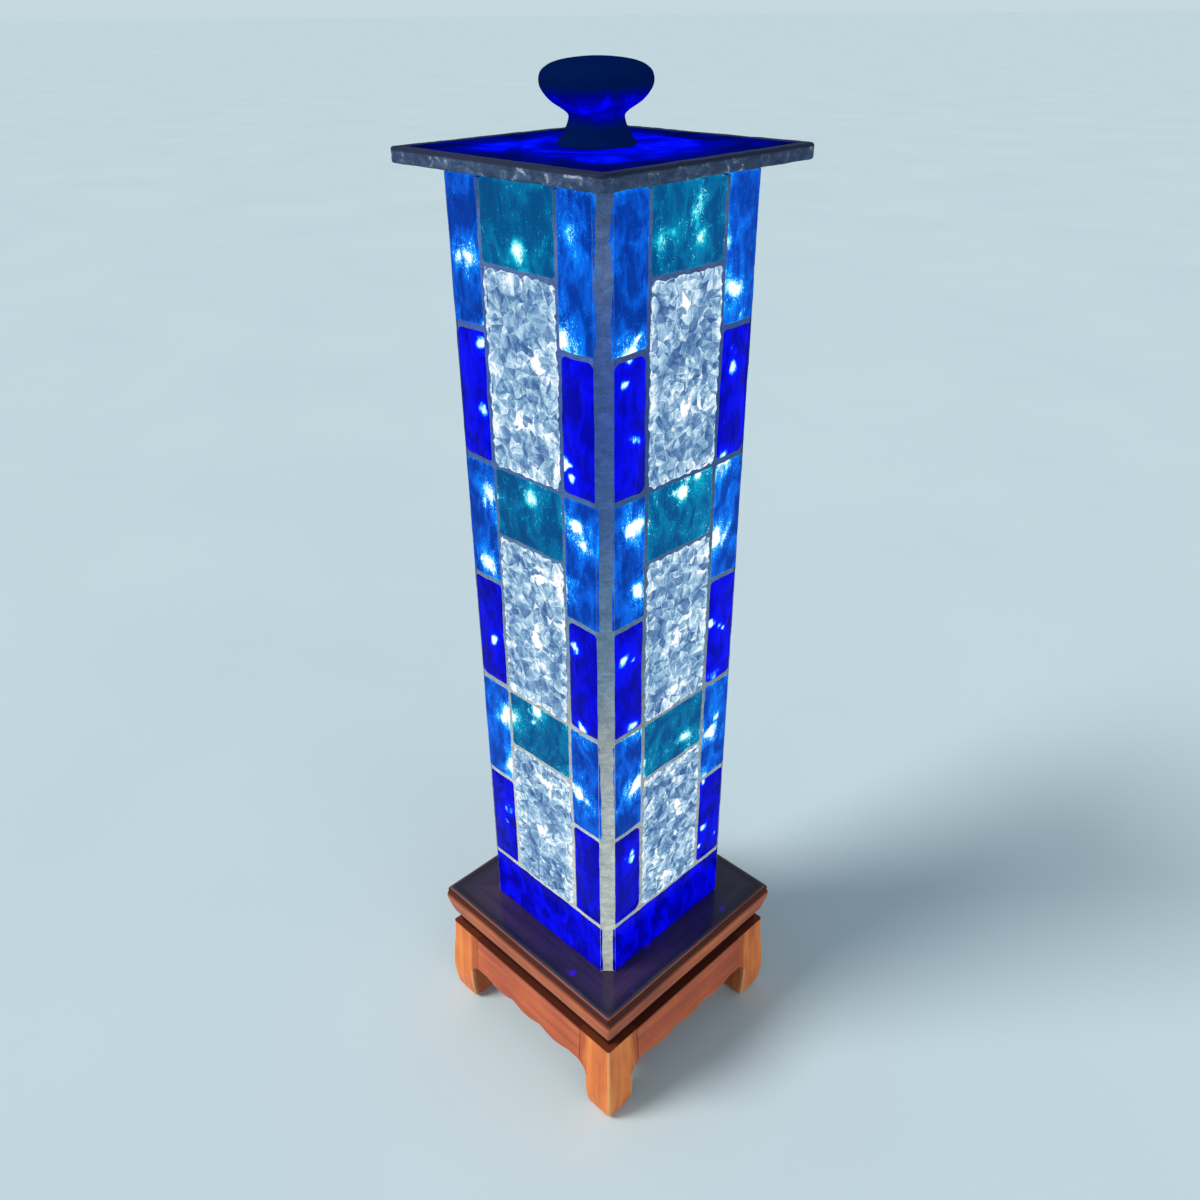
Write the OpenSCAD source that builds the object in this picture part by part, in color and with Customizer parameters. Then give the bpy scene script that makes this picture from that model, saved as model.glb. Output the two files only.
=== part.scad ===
// Mosaic glass lantern: a square glass vase faced with stained-glass tiles and grout,
// a lift-off glass lid with a turned knob, a battery light string inside, and a
// four-legged hardwood stand. Millimetres, +Z up, origin at the centre of the floor
// plane under the stand. The face towards -Y is the front, +X is the right.

/* [Stand] */
// Width of the moulded top board at its widest
board_w = 129; // [122:1:136]
// Height of the whole stand
stand_h = 80; // [74:1:96]
// Thickness of the moulded top board
board_t = 19; // [12:1:22]
// Height of the recessed waist under the board
waist_h = 7; // [4:1:10]
// Width of the apron faces across the stand at their top edge
apron_w = 125; // [120:1:127]
// Width of a foot along each side of the stand
foot_w = 18; // [14:1:20]
// How far the legs and aprons swell outwards
leg_bulge = 2; // [0.5:0.1:3]
// How low that swell is fullest: 1 is half way up, more is lower
swell_drop = 1.6; // [1:0.1:2]
// How far each foot's inner edge is rounded back at the floor
foot_ease = 1.5; // [0:0.5:4]
// Depth of the scallops along an apron's lower edge
scallop_d = 2.4; // [1:0.1:4]

/* [Glass tower] */
// Outside width of the plain glass vase
vase_w = 80; // [78:1:84]
// Wall thickness of the vase
vase_wall = 4; // [3:0.5:5]
// Thickness of the vase's floor
vase_floor = 10; // [6:1:14]
// Thickness of the tiles with their bed of glue
tile_t = 5; // [4:0.5:6]
// Height of the row of base tiles, to the middle of its joint
base_row = 31.7; // [28:0.1:36]
// Height of one row of side tiles, joint to joint
side_row = 57.3; // [52:0.1:60]
// Height of a teal tile, joint to joint
teal_row = 32.3; // [28:0.1:40]
// Width of a centre tile, joint to joint
centre_w = 42; // [36:1:46]
// Width of a grout joint
joint_w = 1.8; // [1:0.1:3]
// How far the grout lies below the tile faces
grout_recess = 0.4; // [0.2:0.1:0.8]

/* [Lid] */
// Width of the square lid
lid_w = 115; // [104:1:124]
// Thickness of the lid
lid_t = 6.3; // [5:0.1:8]
// Width of the grout band around the lid's glass
lid_band = 4.5; // [3:0.5:8]
// Greatest radius of the knob
knob_r = 21.3; // [16:0.1:24]
// Height of the knob above the lid
knob_h = 29.4; // [24:0.1:34]

/* [Lights] */
// Number of turns of the light string up the vase
turns = 9; // [6:1:9]
// Diameter of the light string's wire
wire_d = 1.2; // [1:0.1:2]
// Diameter of one light bulb
bulb_d = 3.6; // [3:0.1:4]

/* [Hidden] */

round_fn = 64;
// The four sides in order, as turns about the vertical axis
FRONT = 0;
RIGHT = 90;
BACK = 180;
LEFT = 270;

// Stand heights and half-widths
leg_h = stand_h - board_t - waist_h;
apron_half = apron_w / 2;
leg_joint = apron_half - foot_w - 3;
foot_inner = apron_half - foot_w + 2;
apron_t = 11;
leg_t = 12.5;
waist_half = apron_half - 3.5;
waist_t = 10;
butt_gap = 0.2;
cusp_z = 30;
scallop_pitch = 22;
scallop_end = 1.5 * scallop_pitch;
curve_steps = 12;
foot_round = 5;
hoof_z = 10;
hoof_lip = 1.5;
block_w = 9;
block_h = 20;

// Tower: six rows of side tiles against three repeats in the middle column
rows = 6;
tower_z = stand_h;
vase_half = vase_w / 2;
face_half = vase_half + tile_t;
grout_half = face_half - grout_recess;
tiles_h = base_row + rows * side_row;
tile_foot = 0.4;
vase_h = tiles_h + 1.7;
teal_pitch = 2 * side_row;
gap = joint_w / 2;

// Lid
lid_z = tower_z + vase_h;
lid_half = lid_w / 2;
glass_half = lid_half - lid_band;
strip_half = vase_half - vase_wall - 1.5;
strip_t = 3;
strip_h = 4;
knob_off = [-1.4, -1.4];
screw_r = 2;
screw_hole_r = 2.4;
screw_depth = 12;
screw_head_r = 4.2;
screw_head_h = 2.6;
washer_r = 6;
washer_t = 1;

// Battery box
box_l = 62;
box_w = 48;
box_h = 18;
box_wall = 1.5;
box_z = tower_z + vase_floor;
cover_t = 2.2;
cover_lip = 2;
cell_r = 7;
cell_l = 49;
cell_pitch = 14.6;
cell_z = box_z + box_wall + cell_r + 0.2;
contact_t = 0.5;
spring_r = 3;
slot_w = 9;
slot_h = 3.4;
slot_z = box_z + box_h - 3.6;
slider_w = 5;
slider_out = 2;
slider_clear = 0.2;
flange_t = 0.8;

// Light string: a rounded-square helix that lies near the vase's walls
wire_half = vase_half - vase_wall - bulb_d / 2 - 1.2;
wire_corner = 0.86 * wire_half;
ring_count = 8;
turn_points = 8;
coil_z0 = box_z + box_h + 16;
coil_z1 = tower_z + vase_h - 14;
coil_points = turns * turn_points;
coil_rise = (coil_z1 - coil_z0) / coil_points;
coil_sway = 5;
sway_turn = 97;
bulb_clear = 0.7;

// ---------- shared shapes ----------

// Half-width of the legs and aprons at height z: a shallow outward swell
function swell(z) =
    apron_half + leg_bulge * sin(180 * pow((leg_h - z) / leg_h, swell_drop));

// Lower edge of an apron at distance x from its middle
function scallop(x) = abs(x) >= scallop_end
    ? cusp_z
    : cusp_z - scallop_d * abs(cos(180 * x / scallop_pitch));

// Turns its children from the front to another side
module on_side(angle) {
    rotate([0, 0, angle]) children();
}

// Extrudes a profile drawn in (x, z) along Y, from y0 to y1
module along_y(y0, y1) {
    translate([0, y1, 0]) rotate([90, 0, 0]) linear_extrude(y1 - y0) children();
}

// Box from its lowest to its highest corner
module block(low, high) {
    translate(low) cube(high - low);
}

// ---------- stand ----------

// Right half of the board's moulded edge, from its underside to its top face
function board_edge() = let (half = board_w / 2) [
    [half - 3.4, stand_h - board_t],
    [half - 2.6, stand_h - board_t + 1.2],
    [half - 1.6, stand_h - board_t + 5],
    [half - 0.5, stand_h - 9.5],
    [half, stand_h - 6.5],
    [half - 0.1, stand_h - 4.2],
    [half - 0.9, stand_h - 3],
    [half - 0.7, stand_h - 1.6],
    [half - 1.6, stand_h - 0.4],
    [half - 2.8, stand_h]];

module board_profile() {
    edge = board_edge();
    back_edge = [for (i = [len(edge) - 1 : -1 : 0]) [-edge[i][0], edge[i][1]]];
    polygon(concat(edge, back_edge));
}

module stand_top_board() {
    color("#4a2a26") intersection() {
        along_y(-board_w, board_w) board_profile();
        on_side(RIGHT) along_y(-board_w, board_w) board_profile();
    }
}

module waist_rail() {
    along_y(-waist_half, -waist_half + waist_t)
        translate([-waist_half + waist_t + butt_gap, leg_h])
            square([2 * waist_half - waist_t - butt_gap, waist_h]);
}

module stand_waist_rails() {
    color("#3a1c1a") for (a = [FRONT, RIGHT, BACK, LEFT]) on_side(a) waist_rail();
}

// The apron seen from the front: straight top, scalloped lower edge
module apron_face() {
    lower = [for (i = [-3 * curve_steps : 3 * curve_steps])
        let (x = leg_joint * i / (3 * curve_steps)) [x, scallop(x)]];
    polygon(concat([[leg_joint, leg_h], [-leg_joint, leg_h]], lower));
}

// The swelling front surface shared by legs and aprons, as a solid across the stand
module swell_slice(depth) {
    outer = [for (i = [0 : curve_steps]) let (z = leg_h * i / curve_steps) [swell(z), z]];
    polygon(concat(outer, [[apron_half - depth, leg_h], [apron_half - depth, 0]]));
}

module apron() {
    color("#a8502e") intersection() {
        along_y(-board_w, 0) apron_face();
        rotate([0, 0, -90]) along_y(-leg_joint, leg_joint) swell_slice(apron_t);
    }
}

module stand_apron_front() { on_side(FRONT) apron(); }
module stand_apron_right() { on_side(RIGHT) apron(); }
module stand_apron_back() { on_side(BACK) apron(); }
module stand_apron_left() { on_side(LEFT) apron(); }

// A leg seen from the front: swelling outer edge, rounded toe, and an inner edge that
// curves in under the apron and turns back at the floor
module leg_face() {
    toe_x = swell(foot_round) - foot_round;
    toe = [for (a = [-90 : 15 : 0])
        [toe_x + foot_round * cos(a), foot_round + foot_round * sin(a)]];
    outer = [for (i = [1 : curve_steps])
        let (z = foot_round + (leg_h - foot_round) * i / curve_steps) [swell(z), z]];
    knee_w = foot_inner - leg_joint;
    knee_h = 7;
    knee = [for (a = [0 : 15 : 90])
        [leg_joint + knee_w * sin(a), cusp_z - knee_h * (1 - cos(a))]];
    hoof = [for (a = [0 : 15 : 90])
        [foot_inner + foot_ease * (1 - cos(a)), hoof_z - (hoof_z - hoof_lip) * sin(a)]];
    polygon(concat(toe, outer, [[leg_joint, leg_h]], knee, hoof,
                   [[foot_inner + foot_ease + 1, 0]]));
}

module leg() {
    color("#b0562c") difference() {
        intersection() {
            along_y(-board_w, 0) leg_face();
            rotate([0, 0, -90]) along_y(0, board_w) leg_face();
        }
        translate([0, -apron_half + leg_t, -1])
            cube([apron_half - leg_t, board_w, stand_h]);
    }
}

module stand_leg_front_right() { on_side(FRONT) leg(); }
module stand_leg_back_right() { on_side(RIGHT) leg(); }
module stand_leg_back_left() { on_side(BACK) leg(); }
module stand_leg_front_left() { on_side(LEFT) leg(); }

// Glue blocks in the corners behind the legs
module stand_corner_blocks() {
    reach = apron_half - leg_t;
    color("#c49a6c") for (a = [FRONT, RIGHT, BACK, LEFT]) on_side(a)
        block([reach - block_w, -reach, leg_h - block_h], [reach, -reach + block_w, leg_h]);
}

// ---------- glass tower ----------

module glass_vase() {
    inner = vase_half - vase_wall;
    color("#dfeaea", 0.5) difference() {
        block([-vase_half, -vase_half, tower_z], [vase_half, vase_half, tower_z + vase_h]);
        block([-inner, -inner, tower_z + vase_floor],
              [inner, inner, tower_z + vase_h + 1]);
    }
}

// A tile on the front face: x and z run from joint middle to joint middle
module face_tile(x0, x1, z0, z1, outer = face_half) {
    block([x0, -outer, tower_z + z0], [x1, -vase_half, tower_z + z1]);
}

// Height of the lower joint of side row i, counted from the bottom
function side_z(i) = base_row + i * side_row;
// Height of the lower joint of the teal tile in repeat k
function teal_z(k) = base_row + (k + 1) * teal_pitch - teal_row;

module side_pair(i) {
    x0 = centre_w / 2 + gap;
    for (m = [0, 1]) mirror([m, 0, 0])
        face_tile(x0, vase_half, side_z(i) + gap, side_z(i + 1) - gap);
}

module teal_tile(k) {
    x1 = centre_w / 2 - gap;
    face_tile(-x1, x1, teal_z(k) + gap, side_z(2 * k + 2) - gap);
}

module clear_tile(k) {
    x1 = centre_w / 2 - gap;
    face_tile(-x1, x1, side_z(2 * k) + gap, teal_z(k) - gap);
}

module base_tile() {
    face_tile(-vase_half, vase_half, tile_foot, base_row - gap);
}

module cobalt_tiles() {
    color("#0a14c8", 0.8) for (i = [0 : 2 : rows - 1]) side_pair(i);
}

module azure_tiles() {
    color("#1466d2", 0.8) for (i = [1 : 2 : rows - 1]) side_pair(i);
}

module teal_tiles() {
    color("#12a0a8", 0.8) for (k = [0 : rows / 2 - 1]) teal_tile(k);
}

module clear_glass(k) {
    color("#b8cfdc", 0.7) clear_tile(k);
}

module cobalt_base() {
    color("#0a10b4", 0.8) base_tile();
}

// The grout left on one face when every tile's place is cut out of it
module grout_face() {
    color("#8c94a4") difference() {
        face_tile(-vase_half, vase_half, tile_foot, tiles_h - gap, grout_half);
        tile_places();
    }
}

module tile_places() {
    for (i = [0 : rows - 1]) side_pair(i);
    for (k = [0 : rows / 2 - 1]) {
        teal_tile(k);
        clear_tile(k);
    }
    base_tile();
}

// The grout that fills the notch at each corner, finished flat across it
module grout_corners() {
    in = vase_half;
    out = face_half;
    color("#8c94a4") for (a = [FRONT, RIGHT, BACK, LEFT]) on_side(a)
        translate([0, 0, tower_z + tile_foot]) linear_extrude(tiles_h - gap - tile_foot)
            polygon([[in, -in], [in, -out], [out, -in]]);
}

module grout_front() { on_side(FRONT) grout_face(); }
module grout_right() { on_side(RIGHT) grout_face(); }
module grout_back() { on_side(BACK) grout_face(); }
module grout_left() { on_side(LEFT) grout_face(); }

module clear_tile_front_1() { on_side(FRONT) clear_glass(0); }
module clear_tile_front_2() { on_side(FRONT) clear_glass(1); }
module clear_tile_front_3() { on_side(FRONT) clear_glass(2); }
module clear_tile_right_1() { on_side(RIGHT) clear_glass(0); }
module clear_tile_right_2() { on_side(RIGHT) clear_glass(1); }
module clear_tile_right_3() { on_side(RIGHT) clear_glass(2); }
module clear_tile_back_1() { on_side(BACK) clear_glass(0); }
module clear_tile_back_2() { on_side(BACK) clear_glass(1); }
module clear_tile_back_3() { on_side(BACK) clear_glass(2); }
module clear_tile_left_1() { on_side(LEFT) clear_glass(0); }
module clear_tile_left_2() { on_side(LEFT) clear_glass(1); }
module clear_tile_left_3() { on_side(LEFT) clear_glass(2); }

module teal_tiles_front() { on_side(FRONT) teal_tiles(); }
module teal_tiles_right() { on_side(RIGHT) teal_tiles(); }
module teal_tiles_back() { on_side(BACK) teal_tiles(); }
module teal_tiles_left() { on_side(LEFT) teal_tiles(); }

module azure_tiles_front() { on_side(FRONT) azure_tiles(); }
module azure_tiles_right() { on_side(RIGHT) azure_tiles(); }
module azure_tiles_back() { on_side(BACK) azure_tiles(); }
module azure_tiles_left() { on_side(LEFT) azure_tiles(); }

module cobalt_tiles_front() { on_side(FRONT) cobalt_tiles(); }
module cobalt_tiles_right() { on_side(RIGHT) cobalt_tiles(); }
module cobalt_tiles_back() { on_side(BACK) cobalt_tiles(); }
module cobalt_tiles_left() { on_side(LEFT) cobalt_tiles(); }

module base_tile_front() { on_side(FRONT) cobalt_base(); }
module base_tile_right() { on_side(RIGHT) cobalt_base(); }
module base_tile_back() { on_side(BACK) cobalt_base(); }
module base_tile_left() { on_side(LEFT) cobalt_base(); }

// ---------- lid ----------

module lid_glass() {
    color("#0a18b8", 0.8) difference() {
        block([-glass_half, -glass_half, lid_z],
              [glass_half, glass_half, lid_z + lid_t - 0.3]);
        translate([knob_off[0], knob_off[1], lid_z - 1])
            cylinder(r = screw_hole_r, h = lid_t + 2, $fn = round_fn);
    }
}

module lid_edge_band() {
    color("#7d8796") difference() {
        block([-lid_half, -lid_half, lid_z], [lid_half, lid_half, lid_z + lid_t]);
        block([-glass_half, -glass_half, lid_z - 1],
              [glass_half, glass_half, lid_z + lid_t + 1]);
    }
}

// Four clear strips under the lid that drop inside the vase's mouth
module lid_locating_strips() {
    color("#dfeaea", 0.6) for (a = [FRONT, RIGHT, BACK, LEFT]) on_side(a)
        block([-strip_half + strip_t + butt_gap, -strip_half, lid_z - strip_h],
              [strip_half, -strip_half + strip_t, lid_z]);
}

// The knob's outline from its foot to its crown, as radius and height fractions
function knob_outline() = [
    [0.72, 0], [0.69, 0.04], [0.63, 0.10], [0.56, 0.19], [0.505, 0.28], [0.50, 0.34],
    [0.57, 0.40], [0.74, 0.475], [0.88, 0.56], [0.97, 0.65], [1, 0.74],
    [0.975, 0.82], [0.89, 0.885], [0.72, 0.94], [0.45, 0.98], [0.2, 0.997], [0, 1]];

module lid_knob() {
    base = lid_z + lid_t - 0.3;
    color("#06107a", 0.9) translate([knob_off[0], knob_off[1], base]) difference() {
        rotate_extrude($fn = round_fn)
            polygon(concat([for (p = knob_outline())
                [p[0] * knob_r, p[1] * (knob_h + 0.3)]], [[0, 0]]));
        translate([0, 0, -1]) cylinder(r = screw_r, h = screw_depth + 1, $fn = round_fn);
    }
}

// Screw from under the lid into the knob's foot
module knob_screw() {
    under = lid_z - washer_t;
    color("#b8b09a") translate([knob_off[0], knob_off[1], under]) {
        cylinder(r = screw_r, h = washer_t + lid_t - 0.3 + screw_depth - 0.5,
                 $fn = round_fn);
        translate([0, 0, -screw_head_h]) difference() {
            cylinder(r = screw_head_r, h = screw_head_h, $fn = round_fn);
            block([-screw_head_r, -0.5, -1], [screw_head_r, 0.5, 1]);
        }
    }
}

module knob_washer() {
    color("#e6e6e0") translate([knob_off[0], knob_off[1], lid_z - washer_t]) difference() {
        cylinder(r = washer_r, h = washer_t, $fn = round_fn);
        translate([0, 0, -1]) cylinder(r = screw_hole_r, h = washer_t + 2, $fn = round_fn);
    }
}

// ---------- lights ----------

module battery_box() {
    color("#f0f0ea") difference() {
        block([-box_l / 2, -box_w / 2, box_z], [box_l / 2, box_w / 2, box_z + box_h]);
        block([-box_l / 2 + box_wall, -box_w / 2 + box_wall, box_z + box_wall],
              [box_l / 2 - box_wall, box_w / 2 - box_wall, box_z + box_h + 1]);
        block([-box_l / 2 - 1, -slot_w / 2, slot_z - slot_h / 2],
              [-box_l / 2 + box_wall + 1, slot_w / 2, slot_z + slot_h / 2]);
    }
}

// Flat cover with a lip along its two long sides
module battery_cover() {
    top = box_z + box_h;
    lip_y = box_w / 2 - box_wall - 0.4;
    color("#f0f0ea") union() {
        block([-box_l / 2, -box_w / 2, top], [box_l / 2, box_w / 2, top + cover_t]);
        for (m = [0, 1]) mirror([0, m, 0])
            block([-cell_l / 2, lip_y - 1, top - cover_lip + 0.4], [cell_l / 2, lip_y, top + 0.1]);
    }
}

module battery_cells() {
    color("#4c5058") for (k = [-1, 0, 1])
        translate([-cell_l / 2 * (k == 0 ? -1 : 1), k * cell_pitch, cell_z])
            rotate([0, k == 0 ? -90 : 90, 0]) {
                cylinder(r = cell_r, h = cell_l, $fn = round_fn);
                translate([0, 0, cell_l]) cylinder(r = 2.6, h = 1, $fn = round_fn);
            }
}

// Spring at each cell's flat end and a plate at its nub
module battery_contacts() {
    wall_x = box_l / 2 - box_wall;
    color("#c8ccd0") for (k = [-1, 0, 1]) mirror([k == 0 ? 1 : 0, 0, 0])
        translate([0, k * cell_pitch, cell_z]) {
            block([-wall_x, -5, -5], [-wall_x + contact_t, 5, 3]);
            translate([-wall_x + contact_t, 0, 0]) rotate([0, 90, 0])
                difference() {
                    cylinder(r = spring_r, h = wall_x - contact_t - cell_l / 2,
                             $fn = round_fn);
                    translate([0, 0, -1]) cylinder(r = spring_r - 0.6, h = wall_x,
                                                   $fn = round_fn);
                }
            block([wall_x - contact_t, -5, -5], [wall_x, 5, 3]);
            block([cell_l / 2 + 1, -2.5, -2.5], [wall_x - contact_t, 2.5, 2.5]);
        }
}

// The switch's thumb piece with the flange that keeps it in its slot
module switch_slider() {
    y0 = -slot_w / 2 + slider_clear;
    neck = slot_h / 2 - slider_clear;
    wall_x = box_l / 2 - box_wall;
    color("#202226") union() {
        block([-box_l / 2 - slider_out, y0, slot_z - neck],
              [-wall_x + slider_clear + flange_t, y0 + slider_w, slot_z + neck]);
        block([-wall_x + slider_clear, y0 - 1.5, slot_z - neck - 0.8],
              [-wall_x + slider_clear + flange_t, y0 + slider_w + 1.5, slot_z + neck + 0.8]);
    }
}

// Points of one turn, from the middle of the right wall round by the back
function turn_point(k) = let (m = k % turn_points)
    m == 0 ? [wire_half, 0] : m == 1 ? [wire_corner, wire_corner]
    : m == 2 ? [0, wire_half] : m == 3 ? [-wire_corner, wire_corner]
    : m == 4 ? [-wire_half, 0] : m == 5 ? [-wire_corner, -wire_corner]
    : m == 6 ? [0, -wire_half] : [wire_corner, -wire_corner];

// The lead leaves the box's end wall, turns up and joins the coil
lead = [[box_l / 2, 0, box_z + 9], [box_l / 2 + 1.6, 0, box_z + 9.5],
        [box_l / 2 + 2, 0, box_z + 12], [box_l / 2 + 1.2, 0, box_z + 18],
        [wire_half, 0, box_z + 26]];
// The coil climbs evenly, with a loose up-and-down sway
function coil_z(k) = coil_z0 + k * coil_rise + coil_sway * sin(sway_turn * k);
coil = [for (k = [0 : coil_points]) [turn_point(k)[0], turn_point(k)[1], coil_z(k)]];
route = concat(lead, coil);

// Unit direction of travel at point i of the route
function unit(v) = v / norm(v);
function heading(i) = unit(route[min(i + 1, len(route) - 1)] - route[max(i - 1, 0)]);
// Two unit vectors across the wire at point i: a sideways one and one across both
function side_vec(i) = let (out = [route[i][0], route[i][1], 0])
    i < len(lead) ? [0, 1, 0] : unit(out - (out * heading(i)) * heading(i));
function ring(i) = let (s = side_vec(i), t = cross(heading(i), s))
    [for (j = [0 : ring_count - 1])
        let (a = 360 * j / ring_count) route[i] + wire_d / 2 * (cos(a) * s + sin(a) * t)];

module light_wire() {
    n = len(route);
    points = [for (i = [0 : n - 1]) each ring(i)];
    sides = [for (i = [0 : n - 2]) for (j = [0 : ring_count - 1])
        let (q = (j + 1) % ring_count, a = i * ring_count, b = a + ring_count)
        each [[a + j, a + q, b + q], [a + j, b + q, b + j]]];
    first_end = [for (j = [ring_count - 1 : -1 : 0]) j];
    last_end = [for (j = [0 : ring_count - 1]) (n - 1) * ring_count + j];
    color("#d8dcdc") polyhedron(points, concat([first_end], sides, [last_end]), convexity = 10);
}

// A bulb stands just inside the wire at each point of the coil
module light_bulbs() {
    inward = (bulb_d + wire_d) / 2 + bulb_clear;
    color("#eef6ff") for (p = coil)
        translate(p - inward * unit([p[0], p[1], 0])) sphere(d = bulb_d, $fn = 24);
}

stand_top_board();
stand_waist_rails();
stand_apron_front();
stand_apron_right();
stand_apron_back();
stand_apron_left();
stand_leg_front_right();
stand_leg_back_right();
stand_leg_back_left();
stand_leg_front_left();
stand_corner_blocks();
glass_vase();
grout_front();
grout_right();
grout_back();
grout_left();
grout_corners();
clear_tile_front_1();
clear_tile_front_2();
clear_tile_front_3();
clear_tile_right_1();
clear_tile_right_2();
clear_tile_right_3();
clear_tile_back_1();
clear_tile_back_2();
clear_tile_back_3();
clear_tile_left_1();
clear_tile_left_2();
clear_tile_left_3();
teal_tiles_front();
teal_tiles_right();
teal_tiles_back();
teal_tiles_left();
azure_tiles_front();
azure_tiles_right();
azure_tiles_back();
azure_tiles_left();
cobalt_tiles_front();
cobalt_tiles_right();
cobalt_tiles_back();
cobalt_tiles_left();
base_tile_front();
base_tile_right();
base_tile_back();
base_tile_left();
lid_glass();
lid_edge_band();
lid_locating_strips();
lid_knob();
knob_screw();
knob_washer();
battery_box();
battery_cover();
battery_cells();
battery_contacts();
switch_slider();
light_wire();
light_bulbs();
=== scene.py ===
"""Looks of the mosaic glass lantern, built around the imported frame. Metres, +Z up.

Front is -Y and right is +X. Every side of the tower is built as the front and then turned.
"""
import math
from collections import namedtuple

import bmesh
import bpy
import numpy as np
from mathutils import Matrix, Vector
from mathutils.geometry import delaunay_2d_cdt


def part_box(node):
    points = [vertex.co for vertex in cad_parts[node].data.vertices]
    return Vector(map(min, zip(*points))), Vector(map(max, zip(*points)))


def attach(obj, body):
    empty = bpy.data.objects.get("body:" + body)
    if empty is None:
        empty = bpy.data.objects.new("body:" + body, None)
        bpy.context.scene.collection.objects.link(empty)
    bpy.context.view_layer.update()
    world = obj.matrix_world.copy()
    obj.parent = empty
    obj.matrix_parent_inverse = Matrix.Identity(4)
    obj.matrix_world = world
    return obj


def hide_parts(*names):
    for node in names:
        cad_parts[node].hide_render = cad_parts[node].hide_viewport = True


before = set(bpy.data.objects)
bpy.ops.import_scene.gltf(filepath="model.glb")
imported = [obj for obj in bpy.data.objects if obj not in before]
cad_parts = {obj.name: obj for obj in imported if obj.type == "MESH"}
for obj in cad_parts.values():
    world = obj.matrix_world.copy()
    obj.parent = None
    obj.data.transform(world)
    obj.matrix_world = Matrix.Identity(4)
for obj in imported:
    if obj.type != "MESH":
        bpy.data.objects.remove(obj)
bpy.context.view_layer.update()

MM = 0.001
SEED = 811
SIDES = {"front": 0.0, "right": 90.0, "back": 180.0, "left": 270.0}
CORNERS = {"front_right": 0.0, "back_right": 90.0, "back_left": 180.0, "front_left": 270.0}


# ---------- places read from the frame ----------

def turned(points, degrees):
    """Points turned about the vertical axis."""
    a = math.radians(degrees)
    matrix = np.array([[math.cos(a), -math.sin(a), 0], [math.sin(a), math.cos(a), 0], [0, 0, 1]])
    return np.asarray(points, float) @ matrix.T


def box(node):
    low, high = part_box(node)
    return np.array(low), np.array(high)


def islands(node):
    """(lowest, highest) corners of every separate solid in one frame node."""
    bm = bmesh.new()
    bm.from_mesh(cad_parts[node].data)
    bmesh.ops.remove_doubles(bm, verts=bm.verts, dist=1e-6)
    seen, boxes = set(), []
    for first in bm.verts:
        if first in seen:
            continue
        stack, group = [first], []
        seen.add(first)
        while stack:
            vert = stack.pop()
            group.append(vert.co[:])
            for edge in vert.link_edges:
                other = edge.other_vert(vert)
                if other not in seen:
                    seen.add(other)
                    stack.append(other)
        group = np.array(group)
        boxes.append((group.min(0), group.max(0)))
    bm.free()
    return boxes


def as_front(low, high, degrees):
    """A box on one side of the tower as x0, x1, z0, z1 on the front."""
    ends = turned([low, high], -degrees)
    (x0, _, z0), (x1, _, z1) = ends.min(0), ends.max(0)
    return x0, x1, z0, z1


VASE_HALF, _, VASE_TOP = box("glass_vase")[1]
FACE_Y = -box("base_tile_front")[0][1]
GROUT_Y = -box("grout_front")[0][1]
GROUT_Z = [end[2] for end in box("grout_front")]
CORNER_Z = [end[2] for end in box("grout_corners")]


# ---------- seeded noise ----------

def smooth_noise(points, size, seed, octaves=2):
    """Value noise from -1 to 1 at an array of points; size is its coarsest feature."""
    table = np.random.default_rng(seed).uniform(-1, 1, 4096)
    total, weight = np.zeros(len(points)), 0.0
    for octave in range(octaves):
        scaled = points * (2 ** octave / size) + 31.7 * (octave + 1)
        cell = np.floor(scaled).astype(np.int64)
        part = scaled - cell
        part = part * part * (3 - 2 * part)
        value = np.zeros(len(points))
        for corner in range(8):
            step = np.array([corner & 1, corner >> 1 & 1, corner >> 2 & 1])
            key = (cell + step) * np.array([73856093, 19349663, 83492791])
            share = np.prod(np.where(step, part, 1 - part), axis=1)
            value += share * table[(key[:, 0] ^ key[:, 1] ^ key[:, 2]) % 4096]
        total += value * 0.5 ** octave
        weight += 0.5 ** octave
    return total / weight


def flat_noise(x, z, size, seed, octaves=2):
    """smooth_noise over a side's own plane; size may be one number or one for x and for z."""
    across, up = (size, size) if np.isscalar(size) else size
    points = np.stack([x.ravel(), np.zeros(x.size), z.ravel() * across / up], 1)
    return smooth_noise(points, across, seed, octaves).reshape(x.shape)


def ease(value, low, high):
    """0 below low, 1 above high, smooth between."""
    t = np.clip((value - low) / (high - low), 0, 1)
    return t * t * (3 - 2 * t)


# ---------- pieces ----------

def linked(name, data):
    """A new object, put in the scene."""
    made = bpy.data.objects.new(name, data)
    bpy.context.scene.collection.objects.link(made)
    return made


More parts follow.
